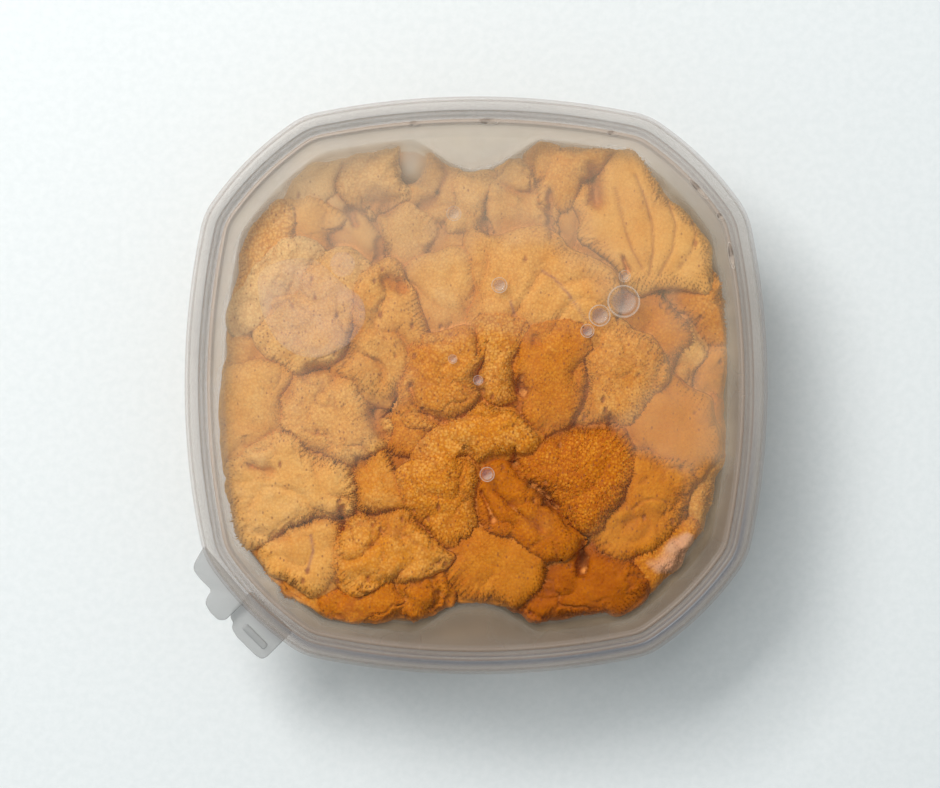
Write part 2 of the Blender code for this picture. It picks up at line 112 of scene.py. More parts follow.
# %% A finish
class Finish:
    """One material: a Principled shader and the nodes that feed it."""

    def __init__(self, name):
        self.material = bpy.data.materials.new(name)
        self.material.use_nodes = True
        self.tree = self.material.node_tree
        self.shader = self.tree.nodes["Principled BSDF"]

    def feed(self, socket, value):
        if isinstance(value, Wire):
            self.tree.links.new(value.socket, socket)
        else:
            socket.default_value = value

    def add(self, kind, settings=None, inputs=None, output=0):
        """A node of any kind. Its settings come first, since they decide which sockets it has."""
        node = self.tree.nodes.new(kind)
        for key, value in (settings or {}).items():
            if key == "stops":
                ramp = node.color_ramp
                while len(ramp.elements) < len(value):
                    ramp.elements.new(1.0)
                for element, (place, colour) in zip(ramp.elements, value):
                    element.position = place
                    element.color = (*colour, 1.0)
            else:
                setattr(node, key, value)
        for key, value in (inputs or {}).items():
            sockets = {s.identifier: s for s in node.inputs}
            self.feed(sockets[key] if key in sockets else node.inputs[key], value)
        if isinstance(output, str):
            output = [s.identifier for s in node.outputs].index(output)
        return Wire(self, node.outputs[output])

    def mix(self, share, low, high):
        """The colour low where share is 0 and high where it is 1."""
        low, high = [(*c, 1.0) if isinstance(c, tuple) else c for c in (low, high)]
        inputs = {"Factor_Float": share, "A_Color": low, "B_Color": high}
        return self.add("ShaderNodeMix", {"data_type": "RGBA"}, inputs, "Result_Color")

    def rise(self, value, start, end, low=0.0, high=1.0):
        """A value that runs smoothly from low to high while value goes from start to end."""
        inputs = {"Value": value, "From Min": start, "From Max": end, "To Min": low, "To Max": high}
        return self.add("ShaderNodeMapRange", {"interpolation_type": "SMOOTHSTEP"}, inputs)

    def stored(self, name):
        """A number that is stored on the mesh; it is 0 where a mesh doesn't have it."""
        return self.add("ShaderNodeAttribute", {"attribute_name": name}, None, "Fac")

    def place(self, axis):
        """The x, y or z of the point that is shaded, in metres."""
        point = self.add("ShaderNodeNewGeometry", output="Position")
        return self.add("ShaderNodeSeparateXYZ", None, {"Vector": point}, axis)

    def noise(self, size, detail=2.0, roughness=0.5):
        """Soft cloudy noise whose clouds are about size metres wide."""
        point = self.add("ShaderNodeNewGeometry", output="Position")
        inputs = {"Vector": point, "Scale": 1.0 / size, "Detail": detail, "Roughness": roughness}
        return self.add("ShaderNodeTexNoise", None, inputs, "Fac")

    def set(self, **inputs):
        for key, value in inputs.items():
            socket = self.shader.inputs[key.replace("_", " ")]
            if isinstance(value, tuple) and socket.type == "RGBA":
                value = (*value, 1.0)
            self.feed(socket, value)
        return self.material


print("shader tools ready")

# %% [markdown]
# ## The outline that everything follows
#
# Seen from above, lid and tub are squares with bowed sides and long, nearly straight corners.
# Such an outline could be a subdivided cage, but then its curvature would be a guess. Here it
# is what a toolmaker would draw: three arcs from the middle of a side to the middle of a
# corner, mirrored and turned. Each point knows which way it faces, so moving it inwards by an
# inset gives a true parallel curve for every bead and groove.

# %% Arcs of the outline
HALF_TURN = math.radians(45.0)
SIDE_TURN = math.radians(11.6)
CORNER_TURN = math.radians(34.7)
BEND_RADIUS = 14.0 * MM
CORNER_RADIUS = 62.0 * MM


def arc_span(start, end):
    """How much an arc of radius 1 adds to the way from a side's middle to the diagonal."""
    return (math.cos(start) - math.cos(end)) + (math.sin(end) - math.sin(start))


bend = BEND_RADIUS * arc_span(SIDE_TURN, CORNER_TURN)
corner = CORNER_RADIUS * arc_span(CORNER_TURN, HALF_TURN)
SIDE_RADIUS = (WIDTH / 2 - bend - corner) / arc_span(0.0, SIDE_TURN)
ARCS = (
    (SIDE_RADIUS, 0.0, SIDE_TURN),
    (BEND_RADIUS, SIDE_TURN, CORNER_TURN),
    (CORNER_RADIUS, CORNER_TURN, HALF_TURN),
)


def edge_points(facing, inset):
    """The outline's points that face these ways, moved inwards by inset."""
    quarter, turn = np.divmod(facing, math.pi / 2)
    mirrored = turn > HALF_TURN
    turn = np.where(mirrored, math.pi / 2 - turn, turn)
    x = WIDTH / 2 - inset * np.cos(turn)
    y = -inset * np.sin(turn)
    for radius, start, end in ARCS:
        reached = np.clip(turn, start, end)
        x = x + radius * (np.cos(reached) - math.cos(start))
        y = y + radius * (np.sin(reached) - math.sin(start))
    x, y = np.where(mirrored, y, x), np.where(mirrored, x, y)
    c, s = np.cos(quarter * math.pi / 2), np.sin(quarter * math.pi / 2)
    return np.stack([c * x - s * y, (s * x + c * y) * DEPTH / WIDTH], axis=-1)


def even_facings(count):
    """Facings whose points lie about evenly spaced along the outline."""
    facing = np.linspace(0.0, 2 * math.pi, 20001)
    points = edge_points(facing % (2 * math.pi), 0.0)
    steps = np.hypot(*np.diff(points, axis=0).T)
    run = np.concatenate([[0.0], np.cumsum(steps)])
    return np.interp(np.arange(count) * run[-1] / count, run, facing)


print(f"side radius {SIDE_RADIUS / MM:.0f} mm")

# %% [markdown]
# ## Small arcs and finger grips
#
# Lid and tub are each one moulded skin, drawn as a profile of insets and heights. The profile's
# corners get small arcs first, because moulded plastic has no knife edges, and it is on those
# arcs that the light draws its thin bright lines. Swept round the outline, each point of the
# profile becomes one level. Two sides are pushed in for the fingers, along a soft cosine bay.

# %% Round a profile and lay a level
GRIP_HALF = 13.5 * MM
GRIP_DEPTH = 7.2 * MM
GRIP_POWER = 1.4


def rounded(profile, radius, steps=4):
    """The profile with each inner corner replaced by a small arc-like curve."""
    points = np.array(profile, float)
    made = [points[0]]
    for before, here, after in zip(points, points[1:], points[2:]):
        ahead, behind = after - here, before - here
        # An arc takes a little less than half of each side, so two arcs never meet.
        cut = min(radius, 0.48 * np.hypot(*ahead[:2]), 0.48 * np.hypot(*behind[:2]))
        start = here + behind * cut / np.hypot(*behind[:2])
        end = here + ahead * cut / np.hypot(*ahead[:2])
        for t in np.linspace(0.0, 1.0, steps + 1):
            made.append((1 - t) ** 2 * start + 2 * t * (1 - t) * here + t ** 2 * end)
    made.append(points[-1])
    return np.array(made)


def bay(x):
    """The finger grip's shape across the side: 1 in its middle, 0 at its ends."""
    inside = np.clip(np.abs(x) / GRIP_HALF, 0.0, 1.0)
    return np.cos(math.pi / 2 * inside) ** GRIP_POWER


def ring(facing, inset, height, grip=0.0):
    """One level of the outline, in metres, with the finger grips pushed in by their share."""
    flat = edge_points(facing, inset)
    x, y = flat.T
    pushed = np.where(np.abs(y) > np.abs(x), grip * GRIP_DEPTH * bay(x), 0.0)
    return np.stack([x, y - np.sign(y) * pushed, np.full_like(x, height)], axis=-1)


ROUND = even_facings(304)
print("one level has", len(ROUND), "points; a grip is", GRIP_DEPTH / MM, "mm deep")

# %% [markdown]
# ## Meshes from arrays
#
# Adding thousands of points one by one is slow in Python, so a mesh is filled from whole arrays
# at once. A sweep joins level to level with quads. A flat end would be one fan of long slivers,
# so copies of its level, drawn towards its middle, close it in steps. Numbers that a finish
# reads, such as how milky the plastic is, are kept on the mesh's own points.

# %% Build a mesh, a sweep and its stored numbers
def shrunk(level, shares):
    """Rings that close a flat end: copies of a level drawn towards its middle."""
    return [level * (share, share, 1.0) for share in shares]


def mesh_from(name, points, quads, triangles=()):
    """A mesh from arrays of points and of corner numbers."""
    made = bpy.data.meshes.new(name)
    quads = np.asarray(quads, np.int32).reshape(-1, 4)
    triangles = np.asarray(triangles, np.int32).reshape(-1, 3)
    made.vertices.add(len(points))
    made.vertices.foreach_set("co", np.asarray(points, np.float32).ravel())
    made.loops.add(quads.size + triangles.size)
    made.loops.foreach_set("vertex_index", np.concatenate([quads.ravel(), triangles.ravel()]))
    made.polygons.add(len(quads) + len(triangles))
    starts = np.concatenate([np.arange(len(quads)) * 4, quads.size + np.arange(len(triangles)) * 3])
    made.polygons.foreach_set("loop_start", starts.astype(np.int32))
    made.update(calc_edges=True)
    made.shade_smooth()
    return made


def sweep(name, levels):
    """A closed skin through the levels, with a point in the middle of the first and last."""
    count = len(levels[0])
    points = np.concatenate([*levels, [levels[0].mean(0)], [levels[-1].mean(0)]])
    here = np.arange(count)
    after = (here + 1) % count
    quads = []
    for k in range(len(levels) - 1):
        low, high = k * count, (k + 1) * count
        quads.append(np.stack([low + here, low + after, high + after, high + here], axis=-1))
    first, last = len(levels) * count, len(levels) * count + 1
    top = (len(levels) - 1) * count
    triangles = np.concatenate([
        np.stack([after, here, np.full_like(here, first)], axis=-1),
        np.stack([top + here, top + after, np.full_like(here, last)], axis=-1),
    ])
    return mesh_from(name, points, np.concatenate(quads), triangles)


def store(mesh, **values):
    """Numbers kept on a mesh's points for its finish: one for all points, or one for each."""
    total = len(mesh.vertices)
    for name, value in values.items():
        filled = np.full(total, value) if np.isscalar(value) else np.asarray(value)
        stored = mesh.attributes.new(name, "FLOAT", "POINT")
        stored.data.foreach_set("value", filled.astype(np.float32))


print("mesh tools ready")

# %% [markdown]
# ## Putting a piece in its place
#
# Each fine piece rides on the tub's one body, and it says which plain solid of the working
# model it takes the place of.

# %% Stand a piece in the scene
def stand(name, mesh, finish, replaced):
    """Puts a piece in the scene, on the body root, in the place of the nodes it replaces."""
    made = bpy.data.objects.new(name, mesh)
    bpy.context.scene.collection.objects.link(made)
    mesh.materials.append(finish)
    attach(made, "root")
    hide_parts(*replaced)
    return made


print("pieces ride on root")

# %% [markdown]
# ## Frosted plastic
#
# Tub and lid are polypropylene, which is milky: some light goes straight through, the rest is
# scattered as by thin milk. A glass shader would bend the light and cast hard sparkles on the
# food. A Principled shader with part of its alpha does what the eye sees: a pale, softly
# shining veil over what lies behind it. How milky it is changes across the profile, so each
# mesh stores that as a number: the lid's thin panel is nearly clear, its thick rim is not. The
# creases are painted darker as painted shade, and the bead beside them, with air under it, is
# painted pale as a painted reflection.

# %% The plastic finish
GROOVE_PAINTED_SHADE = (0.25, 0.185, 0.14)
BEAD_PAINTED_REFLECTION = (0.72, 0.56, 0.45)
RIM_BLUSH = (0.50, 0.31, 0.26)
RIM_PAINTED_SHADE = (0.30, 0.20, 0.14)
STEP_PAINTED_SHADE = (0.13, 0.14, 0.17)
BRINE_TINT_PAINTED_LIGHT, BRINE_TINT_PAINTED_SHADE = (0.66, 0.53, 0.38), (0.42, 0.30, 0.19)


def plastic(name, colour, clear, milky, roughness, ripple, lamp_glare=0.0, brine_and_shade=0.0):
    """Milky plastic, whose stored veil runs its alpha from clear to milky.

    On the lid a painted glare of the lamp adds to it, strongest towards the lit corner. Low in
    the tub the brine's brown adds to it, with painted shade on the side away from the lamp.
    The numbers that multiply a stored value say how strongly it shows.
    """
    finish = Finish(name)
    clouds = finish.noise(18 * MM, 1.0)
    dim = tuple(0.9 * c for c in colour)
    tint = finish.mix(finish.rise(clouds, 0.3, 0.7), dim, colour)
    groove = finish.stored("groove")
    bead = finish.stored("bead")
    # lower runs to 1 towards the lower right, the side away from the lamp, and carries painted shade.
    lower = finish.rise(finish.place(0) * 0.3 - finish.place(1), 5 * MM, 60 * MM)
    shady = finish.stored("shady") * (lower + 0.1)
    veil = finish.stored("veil")
    # Painted shade: the creases are painted darker.
    tint = finish.mix(groove * 0.85, tint, GROOVE_PAINTED_SHADE)
    # Painted reflection: the bead, with air under it, is painted pale.
    tint = finish.mix(bead * 0.8, tint, BEAD_PAINTED_REFLECTION)
    tint = finish.mix(finish.stored("blush") * 0.8, tint, RIM_BLUSH)
    # Painted shade: the rim is painted darker on the side away from the lamp.
    tint = finish.mix(veil * lower * 0.5, tint, RIM_PAINTED_SHADE)
    # Painted shade: the rim's inner step is painted darker, most on the side away from the lamp.
    tint = finish.mix(shady, tint, STEP_PAINTED_SHADE)
    # Low in the tub the brine's brown is mixed in, with painted light on the lit side and painted
    # shade on the side away from the lamp.
    deep = finish.rise(finish.place(2), 20 * MM, 32 * MM, 1.0, 0.0)
    brine_light_and_shade = finish.mix(lower, BRINE_TINT_PAINTED_LIGHT, BRINE_TINT_PAINTED_SHADE)
    tint = finish.mix(deep * 0.8, tint, brine_light_and_shade)
    veil = veil * (1.0 - deep * 0.5)
    alpha = deep * (lower * brine_and_shade + brine_and_shade * 0.4) + veil * (milky - clear)
    alpha = alpha + groove * 0.20 + bead * 0.16 + shady * 0.35 + clear
    if lamp_glare:
        # Painted glare of the lamp on the lid, strongest towards the lit corner.
        way = finish.place(1) - finish.place(0)
        spots = finish.rise(finish.noise(9 * MM, 1.0), 0.25, 0.75, 0.6, 1.0)
        alpha = alpha + finish.rise(way, -20 * MM, 75 * MM, 0.0, lamp_glare) * spots
        # The thin panel scatters as one sheet, so its underside adds nothing of its own.
        thick = finish.rise(finish.stored("veil"), 0.0, 0.05)
        alpha = alpha * thick.maths("MAXIMUM", finish.rise(finish.place(2), 35.1 * MM, 35.3 * MM))
    height = finish.noise(2.6 * MM, 2.0)
    relief = {"Strength": 1.0, "Distance": ripple, "Height": height}
    bumped = finish.add("ShaderNodeBump", None, relief)
    rough = finish.rise(clouds, 0.3, 0.75, roughness, roughness + 0.12)
    return finish.set(Base_Color=tint, Roughness=rough, Alpha=alpha, Normal=bumped, IOR=1.49)


TUB_PLASTIC = plastic("tub_plastic", (0.52, 0.43, 0.33), clear=0.10, milky=0.19,
                      roughness=0.32, ripple=0.03 * MM, brine_and_shade=0.14)
LID_PLASTIC = plastic("lid_plastic", (0.64, 0.575, 0.52), clear=0.006, milky=0.21,
                      roughness=0.26, ripple=0.02 * MM, lamp_glare=0.10)
print("plastics:", TUB_PLASTIC.name, LID_PLASTIC.name)

# %% [markdown]
# ## The tub
#
# The profile starts under the base, goes up the outside over the shoulder and the lip, and
# comes down the inside to the floor. The third number of a point says how much of the finger
# grip shows there: the grips fade out as the wall rises.

# %% Sweep the tub
TUB_OUTSIDE = (
    (8.6, 0.35, 1.0), (8.2, 0.0, 1.0), (6.4, 0.0, 1.0), (5.2, 0.6, 1.0), (4.7, 2.2, 1.0),
    (4.3, 17.0, 0.8), (4.2, 18.4, 0.58), (4.0, 26.0, 0.32), (3.9, 31.5, 0.0), (3.7, 32.8, 0.0),
    (1.9, 33.7, 0.0), (1.9, 36.1, 0.0), (1.05, 36.1, 0.0), (1.05, 36.6, 0.0), (1.4, 36.9, 0.0),
)
TUB_INSIDE = (
    (2.7, 36.9, 0.0), (2.7, 34.2, 0.0), (4.5, 33.4, 0.0), (4.7, 31.2, 0.0), (4.8, 25.8, 0.32),
    (5.0, 18.8, 0.58), (5.1, 17.4, 0.8), (5.6, 2.6, 1.0), (6.8, 1.2, 1.0), (8.6, 1.05, 1.0),
)
FLAT_END = (0.985, 0.9, 0.7, 0.45, 0.2)
FLAT_INSET = 9.0


def swept(name, profile, radius, marks=None):
    """A mesh swept from a profile in millimetres, with both its flat ends closed by rings.

    marks gives numbers to store on it, each as pairs of an inset and its value there.
    """
    path = rounded(profile, radius)
    levels = []
    for point in path:
        grip = point[2] if len(point) > 2 else 0.0
        levels.append(ring(ROUND, point[0] * MM, point[1] * MM, grip))
    start = shrunk(levels[0], FLAT_END)
    end = shrunk(levels[-1], FLAT_END)
    mesh = sweep(name, start[::-1] + levels + end)
    flat = np.full(len(FLAT_END), FLAT_INSET)
    insets = np.concatenate([flat, path[:, 0], flat])
    for mark, pairs in (marks or {}).items():
        value = np.interp(insets, *zip(*pairs))
        store(mesh, **{mark: np.concatenate([np.repeat(value, len(ROUND)), value[[0, -1]]])})
    return mesh


TUB_MARKS = {"veil": ((0.0, 1.0), (5.0, 1.0), (7.0, 0.0))}
tub_mesh = swept("tub_shell", TUB_OUTSIDE + TUB_INSIDE, 0.45, TUB_MARKS)
stand("tub_shell", tub_mesh, TUB_PLASTIC, ["tub"])
print("tub:", len(tub_mesh.polygons), "faces")

# %% [markdown]
# ## The lid
#
# A flat panel, a bead and a groove round it, a rounded rim and a skirt that snaps over the
# tub's lip. Around the panel a little air stays under the bead, and its shine is painted on as a
# painted reflection. The marks say where, by inset, the skin is milky and warm, where it has
# painted shade in the creases and on the rim's inner step, and where the bead is painted pale.

# %% Sweep the lid
LID_ABOVE = (
    (8.4, 35.62), (5.75, 35.6), (5.35, 36.25), (4.8, 36.3), (4.45, 35.6), (3.9, 35.6),
    (3.65, 37.2), (3.15, 37.45), (2.85, 37.95), (1.5, 37.95), (0.6, 37.3), (0.1, 36.0), (0.0, 32.4),
)
LID_BELOW = (
    (0.7, 32.4), (0.7, 34.7), (1.15, 35.2), (0.7, 35.75), (0.7, 36.8), (1.3, 37.25),
    (2.9, 37.2), (3.1, 34.9), (4.7, 34.9), (5.05, 35.55), (5.4, 34.9), (8.4, 34.9),
)
# groove gives painted shade in the creases, bead a painted reflection on the bead, shady painted
# shade on the rim's inner step.
LID_MARKS = {
    "veil": ((0.0, 1.0), (4.4, 0.85), (5.5, 0.5), (5.9, 0.0)),
    "groove": ((2.85, 0.0), (3.0, 1.0), (3.15, 0.5), (3.6, 0.25), (3.9, 0.9), (4.3, 0.5), (4.5, 0.0),
               (5.2, 0.0), (5.3, 0.9), (5.45, 0.1), (5.6, 0.6), (5.8, 0.0)),
    "bead": ((4.4, 0.0), (4.55, 1.0), (5.1, 1.0), (5.25, 0.0)),
    "blush": ((0.0, 1.0), (0.25, 0.8), (0.5, 0.0)),
    "shady": ((1.6, 0.0), (2.2, 1.0), (2.8, 0.8), (3.1, 0.0), (3.5, 0.0), (3.65, 1.0), (3.8, 0.0)),
}
lid_mesh = swept("lid_shell", LID_ABOVE + LID_BELOW, 0.4, LID_MARKS)
stand("lid_shell", lid_mesh, LID_PLASTIC, ["lid"])
print("lid:", len(lid_mesh.polygons), "faces")

# %% [markdown]
# ## The opening tabs
#
# On one corner two tongues stick out: the lid's, with two lobes, and under it the tub's, with
# a rib for the thumb. Each is an outline in the corner's own frame, filled as a flat curve
# with a rounded edge.

# %% Make the tabs
CORNER_OUT = float(np.hypot(*edge_points(np.array([math.radians(225.0)]), 0.0)[0])) / MM
LID_TAB = ((-15.4, 60.6), (-14.6, 63.6), (-14.2, 64.8), (-13.4, 65.6), (-11.5, 65.9), (-8.1, 65.9),
           (-7.8, 67.4), (-7.2, 68.6), (-5.4, 69.2), (-3.0, 69.2), (-1.9, 68.2), (-1.8, 61.8))
TUB_TAB = ((-2.5, 60.6), (-2.5, 66.2), (-1.6, 67.4), (-0.6, 67.6), (0.1, 68.7), (1.9, 69.2),
           (7.4, 69.2), (8.7, 68.8), (9.1, 67.8), (9.1, 60.6))
TUB_RIB = ((1.4, 65.8), (1.4, 67.3), (7.6, 67.3), (7.6, 65.8))
EDGE_ROUND = 0.3 * MM
RIB_ROUND = 0.33 * MM
TONGUE_CORNER = 0.7
TONGUE_STEPS = 5


def tongue(name, outline, foot, top, edge):
    """A flat tongue. Its outline is (along, out) from the tub's middle towards the corner."""
    smooth = rounded(np.array(outline + outline[:2]), TONGUE_CORNER, TONGUE_STEPS)[1:-1]
    curve = bpy.data.curves.new(name, "CURVE")
    curve.dimensions = "2D"
    curve.fill_mode = "BOTH"
    curve.extrude = (top - foot) / 2 - edge
    curve.bevel_depth = edge
    curve.bevel_resolution = 2
    curve.offset = -edge
    spline = curve.splines.new("POLY")
    spline.points.add(len(smooth) - 1)
    spline.use_cyclic_u = True
    for point, (along, out) in zip(spline.points, smooth):
        x = (along - out) / math.sqrt(2) * MM
        y = (-along - out) / math.sqrt(2) * MM
        point.co = (x, y * DEPTH / WIDTH, 0.0, 1.0)
    drawn = bpy.data.objects.new(name, curve)
    bpy.context.scene.collection.objects.link(drawn)
    bpy.context.view_layer.update()
    settled = drawn.evaluated_get(bpy.context.evaluated_depsgraph_get())
    mesh = bpy.data.meshes.new_from_object(settled)
    bpy.data.objects.remove(drawn)
    for vert in mesh.vertices:
        vert.co.z += (top + foot) / 2
    bm = bmesh.new()
    bm.from_mesh(mesh)
    bmesh.ops.remove_doubles(bm, verts=bm.verts, dist=0.01 * MM)
    bm.to_mesh(mesh)
    bm.free()
    mesh.materials.clear()
    mesh.shade_smooth()
    mesh.set_sharp_from_angle(angle=math.radians(40.0))
    return mesh


TAB_PLASTIC = plastic("tab_plastic", (0.50, 0.50, 0.49), clear=0.55, milky=0.55,
                      roughness=0.34, ripple=0.03 * MM)
TONGUES = (
    ("lid_tab", LID_TAB, 33.2, 34.4, EDGE_ROUND, "lid"),
    ("tub_tab", TUB_TAB, 30.7, 31.9, EDGE_ROUND, "tub"),
    ("tub_rib", TUB_RIB, 31.6, 32.3, RIB_ROUND, "tub"),
)
for name, outline, foot, top, edge, owner in TONGUES:
    mesh = tongue(name, outline, foot * MM, top * MM, edge)
    stand(name, mesh, TAB_PLASTIC, [owner])
print("tabs made; the corner lies", round(CORNER_OUT, 1), "mm out")

# %% [markdown]
# ## The brine
#
# The tub is filled to the lid with slightly cloudy brine. A liquid inside a see-through wall
# that stops short of it shows a ring of air, so this body of liquid reaches a hair into the
# wall. It is swept like the tub and left open at its top, where a film closes it later on.

# %% Fill in the brine
INTO_WALL = 0.12
FILM_TOP = 34.86 * MM
BRINE_ROUND = 0.4
BRINE_PROFILE = (
    (8.6, 1.1, 1.0), (6.8, 1.2, 1.0), (5.6, 2.6, 1.0), (5.1, 17.4, 0.8), (5.0, 18.8, 0.58),
    (4.8, 25.8, 0.32), (4.7, 31.2, 0.0), (4.5, 33.4, 0.0), (4.5, 34.9, 0.0), (8.6, 34.95, 0.0),
)


def liquid():
    """Cloudy brine: cloudiest over the floor and clearer towards its top."""
    finish = Finish("brine")
    clouds = (finish.noise(14 * MM, 1.0) - 0.5) * 0.5
    # Painted shade: the brine is darker towards the lower right, the side away from the lamp.
    way = finish.rise(finish.place(1) - finish.place(0) * 0.5, -55 * MM, 45 * MM)
    tint = finish.mix(way + clouds, (0.42, 0.29, 0.17), (0.66, 0.53, 0.38))
    low = finish.rise(finish.place(2), 1.0 * MM, 5.0 * MM, 0.72, 0.12)
    low = low - finish.rise(finish.place(2), 22 * MM, 34 * MM, 0.0, 0.12)
    side = finish.rise(finish.place(2), 30.0 * MM, 34.8 * MM, 0.08, 0.0)
    return finish.set(Base_Color=tint, Roughness=0.2, Alpha=low + side + 0.006, IOR=1.34)


BRINE = liquid()
deeper = [(inset - INTO_WALL, height, grip) for inset, height, grip in BRINE_PROFILE]
brine_mesh = swept("brine_body", deeper, BRINE_ROUND)
bm = bmesh.new()
bm.from_mesh(brine_mesh)
top_faces = [face for face in bm.faces if face.calc_center_median().z > FILM_TOP]
bmesh.ops.delete(bm, geom=top_faces, context="FACES")
bm.to_mesh(brine_mesh)
bm.free()
stand("brine_body", brine_mesh, BRINE, ["brine"])
print("brine:", len(brine_mesh.polygons), "faces")

# %% [markdown]
# ## Noise for surfaces
#
# Roe is a skin packed with tiny grains. Bump in a material can't change an outline, and the
# grains at a lobe's edge do show as teeth, so they are real relief. Two kinds of noise make
# all of it. Grains are domes round scattered points, one in each cell of a grid. Swells are
# smooth hills between random heights on a grid.

# %% Grains and swells
def scatter(cells, salt):
    """A number from 0 to 1 for each cell of a grid, always the same for the same cell."""
    x, y, z = (cells[..., k].astype(np.int64) for k in range(3))
    mixed = (x * 73856093) ^ (y * 19349663) ^ (z * 83492791) ^ (salt * 2654435761)
    mixed = (mixed ^ (mixed >> 13)) * 1274126177
    return ((mixed ^ (mixed >> 16)) & 0xFFFFFF) / float(0x1000000)


def grains(points, size, salt):
    """The distance to the nearest scattered centre, in cells, and that centre's own number."""
    place = points / size
    home = np.floor(place)
    nearest = np.full(len(points), 9.0)
    number = np.zeros(len(points))
    for dx in (-1, 0, 1):
        for dy in (-1, 0, 1):
            for dz in (-1, 0, 1):
                cell = home + (dx, dy, dz)
                centre = cell + 0.5
                for axis in range(3):
                    centre[:, axis] += 0.7 * (scatter(cell, salt + axis) - 0.5)
                away = np.sqrt(((place - centre) ** 2).sum(axis=-1))
                closer = away < nearest
                nearest = np.where(closer, away, nearest)
                number = np.where(closer, scatter(cell, salt + 7), number)
    return nearest, number


def swells(points, size, salt):
    """Smooth hills and hollows, from -1 to 1, on a grid that is turned at random."""
    turned = np.linalg.qr(np.random.default_rng(salt).normal(size=(3, 3)))[0]
    place = points @ turned / size + 50.0
    home = np.floor(place)
    share = place - home
    share = share * share * (3 - 2 * share)
    total = np.zeros(len(points))
    for dx in (0, 1):
        for dy in (0, 1):
            for dz in (0, 1):
                corner_weight = np.ones(len(points))
                for axis, step in enumerate((dx, dy, dz)):
                    part = share[:, axis]
                    corner_weight = corner_weight * (part if step else 1 - part)
                total += corner_weight * scatter(home + (dx, dy, dz), salt)
    return 2 * total - 1


def soft_step(value, start, end):
    share = np.clip((value - start) / (end - start), 0.0, 1.0)
    return share * share * (3 - 2 * share)


test = np.random.default_rng(1).uniform(0, 20 * MM, (2000, 3))
print("grains reach", round(float(grains(test, 1 * MM, 1)[0].max()), 2), "cells from a centre")

# %% [markdown]
# ## Reading a lobe off the frame
#
# Each roe lobe in the frame is a plain pillow: a foot ring, a wide ring at its shoulder and a
# peak. From these come the lobe's middle, its reach in every direction and how it leans, and
# they are all that the fine lobe needs. A smooth curve through the reach in each direction
# turns the few corners into a rounded outline.

# %% Measure the lobes
DOME_POWER = 2.1
FOOT_SLACK = 0.05 * MM


class Lobe:
    """What the frame says about one roe lobe."""

    def __init__(self, node):
        co = np.array([v.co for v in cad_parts[node].data.vertices], float)
        co = np.unique(np.round(co, 6), axis=0)
        self.name = node
        self.foot = co[:, 2].min()
        at_foot = co[:, 2] < self.foot + FOOT_SLACK
        low, high = co[at_foot], co[~at_foot]
        # The peak is the point above the foot that lies nearest the foot ring's middle.
        off = np.hypot(*(high[:, :2] - low[:, :2].mean(0)).T)
        self.x, self.y, self.top = high[off.argmin()]
        rest = np.delete(high, off.argmin(), axis=0)
        dx, dy = rest[:, 0] - self.x, rest[:, 1] - self.y
        sides = len(low)
        turn = np.round(np.arctan2(dy, dx) / (2 * math.pi) * sides).astype(int) % sides
        reach = np.hypot(dx, dy)
        # In each direction the shoulder is the point that reaches furthest out.
        self.radii = np.array([reach[turn == k].max() for k in range(sides)])
        shoulder = np.array([rest[turn == k][reach[turn == k].argmax()] for k in range(sides)])
        flat = np.c_[shoulder[:, 0] - self.x, shoulder[:, 1] - self.y, np.ones(sides)]
        self.lean = np.linalg.lstsq(flat, shoulder[:, 2], rcond=None)[0][:2]
        self.outline = self.radii

    def reach_at(self, angle, radii=None):
        """The outline's distance in a direction, on a smooth curve through its corners."""
        radii = self.outline if radii is None else radii
        count = len(radii)
        place = np.asarray(angle) / (2 * math.pi) * count % count
        k = np.floor(place).astype(int) % count
        t = place - np.floor(place)
        a, b, c, d = (radii[(k + step) % count] for step in (-1, 0, 1, 2))
        return b + 0.5 * t * (c - a + t * (2 * a - 5 * b + 4 * c - d + t * (3 * (b - c) + d - a)))

    def away(self, x, y, radii=None):
        """How far out a point lies, as a share of the outline's distance, and its direction."""
        dx, dy = x - self.x, y - self.y
        angle = np.arctan2(dy, dx)
        return np.hypot(dx, dy) / self.reach_at(angle, radii), angle

    def crown(self, share, angle, drop):
        """The plain height of the lobe's top at a share of the way out."""
        reach = share * self.reach_at(angle)
        tilt = self.lean[0] * np.cos(angle) + self.lean[1] * np.sin(angle)
        fall = 1 - (1 - np.clip(share, 0, 1) ** DOME_POWER) ** 0.5
        return self.top + tilt * reach - drop * fall


lobes = {}
for node in sorted(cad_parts):
    if node.startswith("roe_") and node != "roe_bed":
        lobes[node] = Lobe(node)
mean_reach = np.mean([lobe.radii.mean() for lobe in lobes.values()])
print(len(lobes), "lobes, reaching", round(mean_reach / MM, 1), "mm on average")

# %% [markdown]
# ## What each lobe is like
#
# No two lobes are alike: some are smooth drops, some have coarse grains, a fringe, a fold, a
# cup with a curled rim or holes. Lengths are in millimetres. Tone runs from pale tan at 0 to
# deep amber at 1 and beyond. Marks are placed by shares of the
# lobe's own box, from -1 to 1 across and up it, so they stay with the lobe. A crease is a line
# that is pressed in, a vein is a thin purple line, a hole is a round dark dip. Haze is how
# cloudy the brine over the lobe is: the lobes that touch the lid have next to none. A crease is
# written as its line, its width and its depth, a hole as its place, its radius and its depth.

